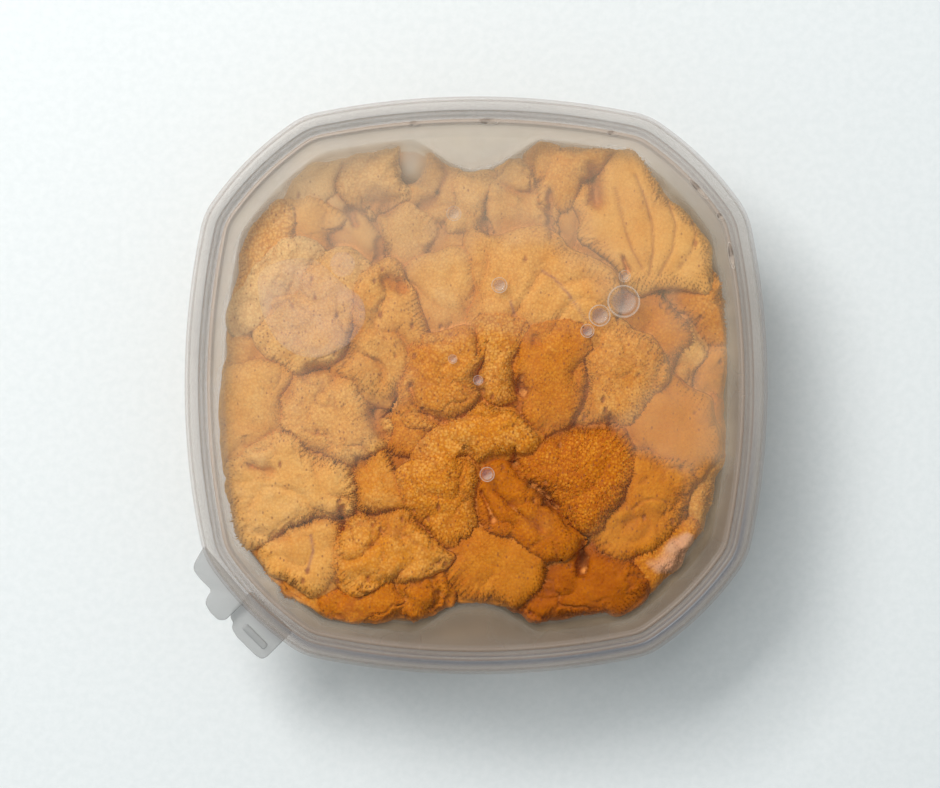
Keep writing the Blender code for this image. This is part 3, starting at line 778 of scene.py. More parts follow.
# %% The looks table
PLAIN = {"grain": 0.20, "fringe": 0.4, "fold": 0.5, "cracks": 0.1, "pits": 0.22, "drop": 2.9,
         "gap": 0.5, "cup": 0.0, "creases": (), "veins": (), "holes": (), "pale": None}
KINDS = {
    "plain": {},
    "small": {"gap": 0.2, "drop": 2.1},
    "smooth": {"fringe": 0.12, "grain": 0.14},
    "crumbly": {"grain": 0.15, "gap": 0.3, "drop": 2.4, "pits": 0.75, "cracks": 0.3},
    "pitted": {"pits": 0.75, "cracks": 0.25, "drop": 2.3, "gap": 0.15},
}


def like(kind, tone, haze, **own):
    """All that is said about one lobe: what every lobe has, what its kind has, and its own."""
    return {**PLAIN, **KINDS[kind], "tone": tone, "haze": haze, **own}


LOOKS = {
    "roe_01": like("plain", -0.2, 0.85, grain=0.12, fringe=0.1, cracks=0.0, cup=0.4),
    "roe_02": like("plain", 0.05, 0.75, grain=0.07, fold=0.3, cracks=0.0),
    "roe_03": like("plain", 0.28, 0.7, fringe=0.5),
    "roe_04": like("plain", 0.45, 0.75,
                   creases=(((0.1, 1.1, 0.45, 0.35, 0.05, -0.3, -0.7, -0.6), 0.5, 1.3),)),
    "roe_05": like("small", 0.45, 0.75),
    "roe_06": like("small", 0.45, 0.8, fold=0.7, cracks=0.6, cup=0.8),
    "roe_07": like("plain", 0.62, 0.65, fringe=0.5),
    "roe_08": like("small", 0.45, 0.8, grain=0.1, fringe=0.12, cracks=0.0),
    "roe_09": like("plain", 0.56, 0.62, grain=0.1, fringe=0.5, fold=0.15, cracks=0.0, gap=0.2,
                   creases=(
                       ((-0.59, 0.33, -0.5, 0.0, -0.42, -0.31, -0.3, -0.6, -0.14, -0.85), 0.35, 0.3),
                       ((-0.25, 0.52, -0.08, 0.15, 0.03, -0.22, 0.04, -0.6, -0.03, -0.95), 0.4, 0.36),
                       ((0.14, 0.37, 0.32, 0.1, 0.42, -0.22, 0.36, -0.6, 0.14, -0.95), 0.4, 0.36),
                       ((0.47, 0.13, 0.67, -0.1, 0.76, -0.36, 0.68, -0.6, 0.47, -0.85), 0.35, 0.28))),
    "roe_10": like("plain", 0.42, 0.35, grain=0.22, fringe=0.5),
    "roe_11": like("small", 0.5, 0.7, grain=0.12),
    "roe_12": like("small", 0.44, 0.8, grain=0.1, fringe=0.12, fold=0.3, cracks=0.0),
    "roe_13": like("small", 0.44, 0.75, pits=0.4),
    "roe_14": like("small", 0.4, 0.8),
    "roe_15": like("small", 0.65, 0.8, grain=0.08),
    "roe_16": like("crumbly", 0.02, 0.45, pits=0.65),
    "roe_17": like("crumbly", 0.38, 0.4),
    "roe_18": like("crumbly", 0.62, 0.35, fold=0.6, cracks=0.4),
    "roe_19": like("smooth", 0.46, 0.5, fold=0.35),
    "roe_20": like("smooth", 0.6, 0.4,
                   veins=((0.09, 0.59, 0.3, 0.45, 0.5, 0.2, 0.88, -0.41),
                          (-0.45, -0.03, -0.34, -0.55, -0.2, -0.85))),
    "roe_21": like("small", 0.35, 0.7, grain=0.08),
    "roe_22": like("small", 0.7, 0.7, grain=0.08),
    "roe_23": like("plain", 0.78, 0.4, fringe=0.9),
    "roe_24": like("plain", 0.92, 0.5, fringe=0.9),
    "roe_25": like("small", 0.55, 0.6),
    "roe_26": like("small", 0.48, 0.55, grain=0.1),
    "roe_27": like("smooth", 0.6, 0.4, grain=0.12, cracks=0.0),
    "roe_28": like("pitted", 0.78, 0.12, pits=0.65),
    "roe_29": like("pitted", 0.7, 0.03),
    "roe_30": like("pitted", 0.96, 0.15),
    "roe_31": like("pitted", 0.72, 0.4),
    "roe_32": like("small", 0.52, 0.7),
    "roe_33": like("small", 0.84, 0.8),
    "roe_34": like("pitted", 0.76, 0.0, pits=0.8),
    "roe_35": like("plain", 0.9, 0.15, fringe=0.8, pits=0.6),
    "roe_36": like("smooth", 0.52, 0.45, fold=0.35),
    "roe_37": like("plain", 0.55, 0.5, cracks=0.5, pits=0.65),
    "roe_38": like("smooth", 0.95, 0.05, grain=0.1, fold=0.2, cracks=0.0),
    "roe_39": like("plain", 1.0, 0.0, grain=0.3, fringe=0.6, fold=0.25, pits=0.75, drop=3.6),
    "roe_40": like("smooth", 0.94, 0.75, fold=0.3, cracks=0.0),
    "roe_41": like("small", 1.1, 0.85),
    "roe_42": like("plain", 0.47, 0.3, grain=0.1, fringe=1.0, pits=0.5),
    "roe_43": like("plain", 0.76, 0.12, grain=0.12, fringe=1.0),
    "roe_44": like("pitted", 0.8, 0.0, pits=0.8),
    "roe_45": like("pitted", 1.18, 0.02, cracks=0.4,
                   creases=(((-0.7, 0.4, -0.2, -0.1, 0.4, -0.6), 0.35, 1.6),)),
    "roe_46": like("plain", 0.95, 0.12, grain=0.11, fringe=0.7, fold=0.35, cracks=0.3, pits=0.7),
    "roe_47": like("plain", 0.64, 0.32, fringe=0.9),
    "roe_48": like("plain", 0.6, 0.2, grain=0.1, fringe=1.0,
                   veins=((0.0, 0.7, 0.1, 0.1, -0.1, -0.6),),
                   holes=((-0.1, -0.65, 0.5, 0.6),)),
    "roe_49": like("plain", 0.88, 0.02, grain=0.14, cup=1.4),
    "roe_50": like("plain", 0.85, 0.02, fringe=0.6),
    "roe_51": like("smooth", 0.74, 0.05, fringe=0.6, fold=0.6, cracks=0.4, pits=0.9),
    "roe_52": like("plain", 1.06, 0.02, fold=0.8, cracks=0.5, pits=0.75),
    "roe_53": like("smooth", 0.98, 0.06, fringe=1.0, fold=0.2, pits=0.3),
    "roe_54": like("plain", 1.36, 0.0, grain=0.13, fringe=0.5, cracks=0.5, pits=0.7),
    "roe_55": like("plain", 0.9, 0.03, pits=0.0, pale=(0.3, 0.2, 0.6)),
}
print("looks for", len(LOOKS), "lobes")

# %% [markdown]
# ## Where the top layer ends
#
# From above, a strip of plain liquid shows between the roe and the wall, wider here than there,
# and in one place a small bay of it reaches in. How far a point lies from that border is one
# number: the way to the wall, less the strip and some noise, or the way to the bay if that is
# shorter.

# %% Measure the room up to the wall
WALL_INSET = 5.7 * MM
WALL_GRIP = 0.9
# How much further in the top layer stays, in each of eight directions round from +X and back.
WALL_ROOM = (1.2, 2.2, 2.0, 2.4, 0.0, 1.6, 2.0, 2.4, 1.2)
# Circles of open liquid: the middle by shares of the lid's half width and depth, the radius in
# millimetres.
WATER = ((-0.215, 0.735, 2.2), (-0.208, 0.785, 2.8), (-0.20, 0.83, 3.0), (-0.24, 0.90, 3.8))

wall = ring(ROUND, WALL_INSET, 0.0, WALL_GRIP)
wall_turn = np.arctan2(wall[:, 1], wall[:, 0])
wall_order = np.argsort(wall_turn)
wall_turn, wall_reach = wall_turn[wall_order], np.hypot(*wall[wall_order, :2].T)


def inside_wall(x, y):
    """How far a point is from the tub's inner wall, measured from the middle."""
    limit = np.interp(np.arctan2(y, x), wall_turn, wall_reach, period=2 * math.pi)
    return limit - np.hypot(x, y)


def free_room(x, y):
    """How far a point of the top layer is from where that layer has to end."""
    eighth = np.arctan2(y, x) / (math.pi / 4) % 8
    room = inside_wall(x, y) - np.interp(eighth, range(9), WALL_ROOM) * MM
    place = np.c_[x, y, 0 * x]
    room = room - (0.8 + 1.0 * swells(place, 7 * MM, 77) + 0.4 * swells(place, 3 * MM, 78)) * MM
    for u, v, radius in WATER:
        room = np.minimum(room, np.hypot(x - u * WIDTH / 2, y - v * DEPTH / 2) - radius * MM)
    return room


middle_room = free_room(np.zeros(1), np.zeros(1))[0]
print(f"from the tub's middle the top layer has {middle_room / MM:.1f} mm of room")

# %% [markdown]
# ## Letting lobes lie on each other
#
# In the frame the lobes stand side by side with thin gaps, as solids must. Real lobes slump:
# a higher one spreads over the shoulder of the lower one beside it, and its fringed edge lies
# on it. So each outline grows outwards, direction by direction, as long as its edge stays
# above its neighbours, ends at the wall and doesn't fill a gap from both sides.

# %% Spread the outlines
DROP_SHARE = 0.86
SPREAD = 4.4 * MM
SPREAD_STEP = 0.13 * MM
DIRECTIONS = 96
LEAST_REACH = 2.0 * MM
MOST_CUTS = 60
TOUCH = 0.3 * MM
OVERLAP_LIFT = 0.25 * MM
# Where a lobe's edge lies while it spreads, and how low a neighbour's shoulder has to be for it
# to be ridden over, both as shares of a drop.
EDGE_DROP, SHOULDER_DROP, SHOULDER_LIFT = 0.62, 0.55, 0.5 * MM
# A neighbour counts as beside a point up to this share of its own reach, and as close up to this.
BESIDE, CLOSE = 1.6, 1.2
# The dome follows the skirt by this share only, and the skirt ends this much past it at least.
FOLLOW = 0.15
SKIRT_PAST = 0.25 * MM
EVEN = np.arange(DIRECTIONS) * 2 * math.pi / DIRECTIONS


def evened(values, times):
    """Values round a circle, each averaged with its neighbours a number of times."""
    for _ in range(times):
        values = (np.roll(values, 1) + 2 * values + np.roll(values, -1)) / 4
    return values


def kept_in(lobe, reach):
    """The reach in even directions, cut back to where the top layer ends."""
    reach = reach.copy()
    for _ in range(MOST_CUTS):
        room = free_room(lobe.x + reach * np.cos(EVEN), lobe.y + reach * np.sin(EVEN))
        reach -= np.where((room < 0) & (reach > LEAST_REACH), SPREAD_STEP, 0.0)
    return evened(reach, 2)


def spread(lobe, others):
    """The lobe's foot, edge and skirt in even directions, grown towards its neighbours.

    The edge only grows over lower neighbours. The skirt is the low flesh round it, which
    reaches on until it meets the flesh of the next lobe.
    """
    base = kept_in(lobe, lobe.reach_at(EVEN, lobe.radii))
    grown = base.copy()
    rides = np.zeros(DIRECTIONS)
    active = np.ones(DIRECTIONS, bool)
    edge = lobe.crown(np.ones(DIRECTIONS), EVEN, EDGE_DROP * lobe.drop)
    for step in np.arange(SPREAD_STEP, SPREAD, SPREAD_STEP):
        x = lobe.x + (base + step) * np.cos(EVEN)
        y = lobe.y + (base + step) * np.sin(EVEN)
        allowed = free_room(x, y) > 0.0
        beside = np.zeros(DIRECTIONS, bool)
        above = np.zeros(DIRECTIONS, bool)
        for other in others:
            share, turn = other.away(x, y, other.radii)
            beside |= share < BESIDE
            gap = (share - 1) * other.reach_at(turn, other.radii)
            under = other.crown(share, turn, other.drop)
            higher = edge > other.top - SHOULDER_DROP * other.drop + SHOULDER_LIFT
            over = (edge > under + OVERLAP_LIFT) | (gap > -TOUCH)
            allowed &= np.where(share < 1, over, (gap > step - 2 * TOUCH) | higher)
            above |= higher & (share < CLOSE)
        active &= allowed & beside
        grown[active] = (base + step)[active]
        rides[active & above] = step
    added = evened(grown - base, 8)
    outline = base + evened(FOLLOW * (grown - base) + (1 - FOLLOW) * rides, 8)
    return base, outline, np.maximum(base + added, outline) + SKIRT_PAST


for name, lobe in lobes.items():
    lobe.drop = DROP_SHARE * LOOKS[name]["drop"] * MM
for lobe in lobes.values():
    lobe.near = []
    for other in lobes.values():
        room = other.radii.max() + lobe.radii.max() + SPREAD
        if other is not lobe and math.hypot(other.x - lobe.x, other.y - lobe.y) < room:
            lobe.near.append(other)
spread_lines = {name: spread(lobe, lobe.near) for name, lobe in lobes.items()}
for name, lobe in lobes.items():
    lobe.base, lobe.outline, lobe.skirt = spread_lines[name]
edge_growth = np.mean([(lobe.outline - lobe.base).mean() for lobe in lobes.values()]) / MM
skirt_growth = np.mean([(lobe.skirt - lobe.base).mean() for lobe in lobes.values()]) / MM
print(f"edges grew by {edge_growth:.2f} mm and skirts by {skirt_growth:.2f} mm")

# %% [markdown]
# ## Where a lobe's edge comes to rest
#
# An edge that lies on a neighbour ends just above it. An edge beside a gap rolls down by the
# lobe's whole drop.

# %% Rest the edges
EDGE_CLEARANCE = 0.15 * MM
LEAST_DOME = 0.8 * MM


def resting_edge(lobe):
    """The height of the lobe's edge in even directions."""
    x = lobe.x + lobe.outline * np.cos(EVEN)
    y = lobe.y + lobe.outline * np.sin(EVEN)
    edge = lobe.crown(np.ones(DIRECTIONS), EVEN, lobe.drop)
    for other in lobe.near:
        share, turn = other.away(x, y, other.radii)
        under = other.crown(share, turn, other.drop) + EDGE_CLEARANCE
        edge = np.where(share < 1, np.maximum(edge, under), edge)
    return evened(np.minimum(edge, lobe.top - LEAST_DOME), 2)


for lobe in lobes.values():
    lobe.edge = resting_edge(lobe)
edges = np.concatenate([lobe.edge for lobe in lobes.values()]) / MM
print(f"edges rest between {edges.min():.1f} and {edges.max():.1f} mm")

# %% [markdown]
# ## Pockets and drift
#
# In a few places no lobe meets its neighbour, and one looks down a dark gash between them.
# Each is a line, placed by shares of the lid's half width from its middle, with a half width
# and a depth in millimetres. Then everything drifts sideways a little, with the same soft noise
# for all lobes. Neighbours move together, so nothing tears, but no border stays a tidy curve.

# %% Press the pockets, drift the points
LID_UNDERSIDE = LID_TOP - 3.1 * MM
POCKETS = (
    (0.156, 0.03, 0.15, -0.02, 0.9, 2.6), (-0.19, -0.09, -0.11, -0.13, 0.9, 2.6),
    (-0.35, 0.64, -0.32, 0.635, 2.2, 3.0), (0.405, 0.75, 0.42, 0.64, 1.6, 3.6),
    (-0.30, 0.36, -0.26, 0.34, 1.5, 2.4), (-0.35, -0.11, -0.33, -0.17, 1.9, 3.4),
    (-0.78, -0.28, -0.72, -0.30, 1.2, 2.6), (-0.465, -0.43, -0.455, -0.49, 1.0, 2.4),
    (0.02, -0.37, 0.06, -0.46, 0.6, 1.8), (0.19, -0.35, 0.28, -0.42, 0.7, 2.2),
    (0.463, -0.11, 0.47, -0.14, 0.8, 2.2), (0.135, -0.22, 0.13, -0.27, 0.7, 2.2),
    (0.20, 0.155, 0.22, 0.14, 0.8, 1.6), (0.365, -0.55, 0.372, -0.64, 1.0, 3.0),
    (-0.58, 0.055, -0.54, 0.06, 1.2, 2.6), (0.51, 0.44, 0.525, 0.40, 0.6, 1.8),
    (0.035, 0.60, 0.045, 0.53, 0.7, 1.8), (0.255, 0.67, 0.26, 0.52, 0.8, 1.8),
    (-0.34, 0.50, -0.33, 0.42, 0.8, 1.4), (-0.44, 0.61, -0.42, 0.56, 0.8, 1.8),
    (0.00, 0.19, 0.01, 0.12, 0.8, 1.4), (-0.23, 0.00, -0.20, -0.08, 0.8, 1.6),
)
# The size, the reach and the salt of each noise that moves the points.
DRIFTS = ((9.0 * MM, 2.1 * MM, 301), (3.6 * MM, 0.9 * MM, 311))
WALL_CLEARANCE = 0.25 * MM


def pockets(points):
    """How deep the pockets press at each point."""
    pressed = np.zeros(len(points))
    jagged = 0.40 * swells(points, 2.2 * MM, 401) + 0.22 * swells(points, 0.9 * MM, 402)
    u, v = points[:, 0] / (WIDTH / 2), points[:, 1] / (WIDTH / 2)
    for *line, radius, depth in POCKETS:
        off = line_distance(u, v, line) * WIDTH / 2
        near = np.exp(-np.clip(off / MM + jagged, 0, 9) ** 2 / radius ** 2)
        pressed = np.maximum(pressed, depth * MM * near)
    return pressed


def drift(points):
    """The points moved sideways by the shared noise, but kept off the wall."""
    flat = points * (1, 1, 0)
    fade = soft_step(inside_wall(points[:, 0], points[:, 1]), 0.0, 4.0 * MM)
    moved = points.copy()
    for size, reach, salt in DRIFTS:
        moved[:, 0] += reach * fade * swells(flat, size, salt)
        moved[:, 1] += reach * fade * swells(flat, size, salt + 5)
    out = np.hypot(moved[:, 0], moved[:, 1])
    room = inside_wall(moved[:, 0], moved[:, 1]) - WALL_CLEARANCE
    pull = np.where(room < 0, (out + room) / np.maximum(out, MM), 1.0)
    moved[:, 0] *= pull
    moved[:, 1] *= pull
    return moved


print(len(POCKETS), "pockets")

# %% [markdown]
# ## A grid bent into a disc
#
# Each lobe starts as a disc. A sphere would crowd its mesh at two poles, and a remesh would
# round off the grains. A square grid bent into a disc has even cells everywhere, and its rim is
# one clean loop from which the side goes down.

# %% The disc and the lines on it
CELL = 0.26 * MM
LEAST_CELLS = 24
# Round the rim the cells come out narrow, so they may be this much longer outwards.
CELL_LENGTH = 1.2


def disc_grid(cells):
    """Share of the way out and direction for a square grid bent into a disc, and its quads."""
    side = np.linspace(-1, 1, cells + 1)
    a, b = np.meshgrid(side, side, indexing="ij")
    wide = np.abs(a) > np.abs(b)
    safe_a, safe_b = np.where(a == 0, 1, a), np.where(b == 0, 1, b)
    angle = np.where(wide, math.pi / 4 * b / safe_a, math.pi / 2 - math.pi / 4 * a / safe_b)
    signed = np.where(wide, a, b)
    angle = np.where(signed < 0, angle + math.pi, angle)
    number = np.arange((cells + 1) ** 2).reshape(cells + 1, cells + 1)
    quads = np.stack([number[:-1, :-1], number[1:, :-1], number[1:, 1:], number[:-1, 1:]], axis=-1)
    rim = np.concatenate([number[:-1, 0], number[-1, :-1], number[:0:-1, -1], number[0, :0:-1]])
    return np.abs(signed), angle, quads.reshape(-1, 4), rim


def line_distance(u, v, line):
    """The distance from each point (u, v) to a line through (u0, v0, u1, v1, ...)."""
    corners = np.array(line, float).reshape(-1, 2)
    nearest = np.full(len(u), 1e9)
    for a, b in zip(corners, corners[1:]):
        run = b - a
        t = np.clip(((u - a[0]) * run[0] + (v - a[1]) * run[1]) / (run @ run), 0, 1)
        nearest = np.minimum(nearest, np.hypot(u - a[0] - t * run[0], v - a[1] - t * run[1]))
    return nearest


def grid_normals(points, shape):
    """The upward direction of the surface at each point of a grid."""
    grid = points.reshape(*shape, 3)
    normal = np.cross(np.gradient(grid, axis=0), np.gradient(grid, axis=1))
    normal /= np.maximum(np.linalg.norm(normal, axis=-1, keepdims=True), 1e-12)
    return normal.reshape(-1, 3)


print("a disc of 8 x 8 cells has a rim of", len(disc_grid(8)[-1]), "points")

# %% [markdown]
# ## The plain dome
#
# The disc is domed from the lobe's peak down to its edge, and beyond the edge a low skirt of
# flesh reaches the next lobe. Rings that lie evenly over the ground would leave the steep edge
# with few of them, so they are spaced evenly along the dome. Noise of three sizes then bites
# and frays the border.

# %% Dome the disc
TOOTH = 0.40 * MM
SKIRT_STEP = 0.3 * MM
SKIRT_SLOPE = 0.35


def dome(lobe, look, salt):
    """The plain dome and skirt on a disc: points, share of the way out, direction, quads, rim."""
    mean_reach = lobe.outline.mean()
    drop = lobe.top - lobe.edge.mean()
    trial = np.linspace(0, 1, 400)
    fall = 1 - np.sqrt(np.clip(1 - trial ** DOME_POWER, 0, 1))
    steps = np.hypot(np.diff(trial) * mean_reach, np.diff(fall) * drop)
    run = np.concatenate([[0], np.cumsum(steps)])
    whole = run[-1] + (lobe.skirt - lobe.outline).mean()
    cells = max(LEAST_CELLS, int(round(2 * whole / CELL / CELL_LENGTH)))
    share, angle, quads, rim = disc_grid(cells)
    shape = share.shape
    share, angle = share.ravel(), angle.ravel()
    out = np.interp(share * whole, run, trial)
    beyond = np.clip((share * whole - run[-1]) / (whole - run[-1]), 0, 1)
    fall = np.interp(out, trial, fall)
    width = lobe.reach_at(angle, lobe.skirt) - lobe.reach_at(angle)
    reach = out * lobe.reach_at(angle) + beyond * width
    around = np.c_[mean_reach * np.cos(angle), mean_reach * np.sin(angle), 0 * angle]
    bitten = look["gap"] * MM * (0.45 + 0.6 * swells(around, 5.5 * MM, salt + 15))
    bitten += look["fringe"] * 0.4 * MM * swells(around, 1.9 * MM, salt + 16)
    reach -= bitten * out ** 2 * (1 - beyond)
    teeth = look["fringe"] * TOOTH * swells(around, 0.85 * MM, salt + 17)
    reach += teeth * soft_step(out, 0.7, 1) * (1 - beyond)
    edge = lobe.reach_at(angle, lobe.edge)
    tilt = (lobe.lean[0] * np.cos(angle) + lobe.lean[1] * np.sin(angle)) * reach
    z = lobe.top + tilt * (1 - fall) - (lobe.top - edge) * fall
    z -= soft_step(beyond, 0.0, 1.0) * (SKIRT_STEP + SKIRT_SLOPE * width)
    points = np.c_[lobe.x + reach * np.cos(angle), lobe.y + reach * np.sin(angle), z]
    return drift(points), out, angle, quads, rim, shape


print("skirts slope by", SKIRT_SLOPE, "of their width")

# %% [markdown]
# ## Cups, creases, holes and veins
#
# These marks are what makes one lobe differ from the next. Each is a soft bump function of the
# distance to a spot or a line, so it presses the surface in and colours it in one go: a vein
# purple, creases and holes darker as painted shade.

# %% Press the marks
VEIN_WIDE = 0.28
VEIN_DEEP = 0.04 * MM


def press(lobe, look, points, out):
    """How deep the marks press, and the dark, vein and pale values for the finish."""
    low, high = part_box(lobe.name)
    middle, half = (low + high) / 2, (high - low) / 2
    u, v = (points[:, 0] - middle.x) / half.x, (points[:, 1] - middle.y) / half.y
    scale = (half.x + half.y) / 2 / MM
    dark = np.zeros(len(u))
    vein = np.zeros(len(u))
    pale = np.zeros(len(u))
    pressed = look["cup"] * MM * soft_step(1 - out, 0.1, 0.75)
    for line, width, depth in look["creases"]:
        near = np.exp(-(line_distance(u, v, line) * scale / width) ** 2)
        pleat = 0.5 * near + 0.5 * near ** 0.12
        pressed += depth * MM * pleat
        # Painted shade in the crease.
        dark = np.maximum(dark, 0.6 * near ** 2)
    for hole_u, hole_v, radius, depth in look["holes"]:
        near = np.exp(-(np.hypot(u - hole_u, v - hole_v) * scale / radius) ** 4)
        pressed += depth * MM * near
        # Painted shade in the hole.
        dark = np.maximum(dark, near)
    for line in look["veins"]:
        near = np.exp(-(line_distance(u, v, line) * scale / VEIN_WIDE) ** 2)
        pressed += VEIN_DEEP * near
        vein = np.maximum(vein, near)
    if look["pale"]:
        pale_u, pale_v, width = look["pale"]
        spot = np.hypot(u - pale_u, v - pale_v) + 0.4 * swells(points, 2.5 * MM, 11)
        pale = 0.6 * (1 - soft_step(spot, width * 0.5, width))
    return pressed, dark, vein, pale


print("veins are", 2 * VEIN_WIDE, "mm wide")

# %% [markdown]
# ## Folds, cracks, pits and frills
#
# The pressed dome is moved along its own direction: in by cracks and pits, and both ways by
# folds. Part of the folding is one noise for all lobes, bent by another, so ridges run on from
# lobe to lobe as in packed roe. Near a fringed edge larger grains make a frill.

# %% Fold, crack and pit the surface
GRAIN_KEEP = 0.62


def lobe_surface(lobe, look, salt):
    """The lobe's points, quads, rim and villi, and the values that its finish reads."""
    points, out, angle, quads, rim, shape = dome(lobe, look, salt)
    pressed, dark, vein, pale = press(lobe, look, points, out)
    points[:, 2] -= pressed + pockets(points)

    normal = grid_normals(points, shape)
    fold = 0.6 * swells(points, 4.4 * MM, salt) + 0.35 * swells(points, 2.0 * MM, salt + 1)
    bent = points + 1.5 * MM * swells(points, 5.0 * MM, 351)[:, None]
    fold += 3.4 * (np.minimum(np.abs(swells(bent, 7.5 * MM, 352)), 0.4) ** 0.7 - 0.38)
    ridge = np.abs(swells(points, 5.0 * MM, salt + 21) + 0.5 * swells(points, 1.9 * MM, salt + 22))
    crack = look["cracks"] * (1 - soft_step(ridge, 0.02, 0.20))
    crack = crack * soft_step(swells(points, 6.0 * MM, salt + 23), -0.5, 0.2)
    keep_edge = 1 - soft_step(out, 0.85, 1.0)
    lumps = look["fold"] * fold * (0.4 + 0.6 * keep_edge) - 0.9 * crack

    ground = lobe.outline.mean() * np.c_[np.cos(angle), np.sin(angle), 0.36 * out]
    away, number = grains(ground + salt * MM, 1.0 * MM, salt + 3)
    frill = look["fringe"] * soft_step(out, 0.55, 0.9)
    spread_grain = 1 - np.minimum(away / GRAIN_KEEP, 1) ** 2
    holes, chance = grains(points * (1.0, 0.6, 0.8), 2.2 * MM, salt + 9)
    pit = soft_step(0.24 - holes, 0.0, 0.1) * (chance < 0.4 * look["pits"])
    lumps = lumps + 0.34 * frill * spread_grain * (0.5 + number) - 0.45 * pit
    points = points + normal * (lumps * MM)[:, None]

    # Painted shade: pits and cracks are darkened.
    dark = np.maximum.reduce([dark, 0.85 * pit, 0.7 * crack])
    values = {"dark": dark, "vein": vein, "pale": pale}
    tips = villi(lobe, look, salt, points, grid_normals(points, shape), out, shape, dark)
    return points, quads, rim, values, tips


print("the frill's grains reach", GRAIN_KEEP, "of a cell")

# %% [markdown]
# ## Villi
#
# Close up, roe is covered with tiny villi, which give its skin a velvet look and its edge fine
# teeth. Particles would stay outside the mesh, so each villus is a small real cone in it. One
# grid point in three carries one, moved a little at random.

# %% Set the villi
VILLUS_SIDES = 3
VILLUS_WIDE = 0.25 * MM
# Pits and creases darker than this carry no villi.
BARE = 0.35


def villi(lobe, look, salt, points, normal, out, shape, dark):
    """Tiny cones all over a lobe: low on its crown, longer and leaning outwards at its edge.

    The result is which grid point each cone stands on, its ring of corners and its tip.
    """
    row, column = np.divmod(np.arange(len(points)), shape[1])
    stands = ((row + 2 * column) % 3 == 0) & (out < 0.995) & (dark < BARE)
    chosen = np.flatnonzero(stands & (np.minimum(row, column) > 1)
                            & (row < shape[0] - 2) & (column < shape[1] - 2))
    cell = np.c_[chosen, chosen, chosen]
    luck = np.stack([scatter(cell, salt + 40 + k) for k in range(4)], axis=-1)
    off = luck[:, :3] - 0.5
    radial = points[chosen] - (lobe.x, lobe.y, 0)
    radial[:, 2] = 0
    radial /= np.maximum(np.linalg.norm(radial, axis=1, keepdims=True), MM)
    edge = soft_step(out[chosen], 0.70, 0.97)[:, None]
    lean = normal[chosen] * (1 - 0.4 * edge) + radial * 0.8 * edge + 0.5 * off
    lean /= np.linalg.norm(lean, axis=1, keepdims=True)
    low = 0.10 + 0.8 * look["grain"] * (1 - 0.5 * look["haze"])
    length = (low * (1 - edge) + (0.22 + 0.45 * look["fringe"]) * edge) * (0.6 + 0.8 * luck[:, 3:])
    root = points[chosen] + 0.3 * MM * off * (1, 1, 0.3) - 0.05 * MM * lean
    side = np.cross(lean, (0.31, 0.95, 0.05))
    side /= np.linalg.norm(side, axis=1, keepdims=True)
    other = np.cross(lean, side)
    corners = []
    for k in range(VILLUS_SIDES):
        turn = 2 * math.pi * k / VILLUS_SIDES
        corners.append(root + VILLUS_WIDE * (math.cos(turn) * side + math.sin(turn) * other))
    tip = root + lean * length * MM
    return chosen, np.stack(corners + [tip], axis=1), luck[:, 3] - 0.5


print("a villus has", VILLUS_SIDES, "sides")

# %% [markdown]
# ## Light among the lobes
#
# Light enters roe and comes out elsewhere, so a narrow gap between lobes glows orange instead
# of going black, while a wide hollow stays dim. A coarse map of heights, blurred over a short and
# over a long reach, tells each point how far it lies below its near and its far surroundings.
# Deep down the light fades to dusk, except by the see-through wall.

# %% Map the heights
MAP_CELL = 0.4 * MM
MAP_SIDE = int(WIDTH * 1.02 / MAP_CELL)


def off_wall(points):
    """0 at the wall, where light comes in from the side, and 1 further in."""
    return soft_step(inside_wall(points[:, 0], points[:, 1]), 0.8 * MM, 3.5 * MM)


# Painted shade: dusk darkens the colour with depth.
def dusk(points):
    """How little light reaches a point: it fades with depth, except near the wall."""
    return 0.85 * soft_step(LID_UNDERSIDE - points[:, 2], 5 * MM, 12 * MM) * off_wall(points)


def cell_of(points):
    """The row and column of the height map that points lie in."""
    place = np.round(points[:, :2] / MAP_CELL + MAP_SIDE / 2).astype(int)
    return tuple(np.clip(place, 0, MAP_SIDE - 1).T)


def blurred(heights, reach):
    """The map with each cell averaged over a square neighbourhood, three times."""
    half = max(1, int(round(reach / MAP_CELL / 2)))
    for axis in (0, 1) * 3:
        total = sum(np.roll(heights, k, axis) for k in range(-half, half + 1))
        heights = total / (2 * half + 1)
    return heights


def height_map(surfaces, floor):
    """The highest surface point in each cell, or floor where there is none."""
    heights = np.full((MAP_SIDE, MAP_SIDE), floor)
    for points, *_ in surfaces.values():
        np.maximum.at(heights, cell_of(points), points[:, 2])
    return heights


def shading(surfaces, floor):
    """How far each surface point lies below its wide and its near surroundings, from 0 to 1."""
    heights = height_map(surfaces, floor)
    near, far = blurred(heights, 1.2 * MM), blurred(heights, 4.8 * MM)
    shades = {}
    for name, (points, *_) in surfaces.items():
        cells = cell_of(points)
        narrow = soft_step(near[cells] - points[:, 2], 0.1 * MM, 1.3 * MM)
        wide = soft_step(far[cells] - points[:, 2], -0.9 * MM, 2.8 * MM)
        shades[name] = (wide, narrow)
    return shades


print("the height map has", MAP_SIDE, "cells a side")

# %% [markdown]
# ## Closing the lobe
#
# From the dome's rim the side goes down to the foot that the frame's solid stands on, a little
# narrower on its way and lumpy at its top. The villi are added as loose cones, and every value
# that the finish reads is kept on the same mesh.

# %% Build a lobe's mesh
SIDE_CELL = 1.3 * MM


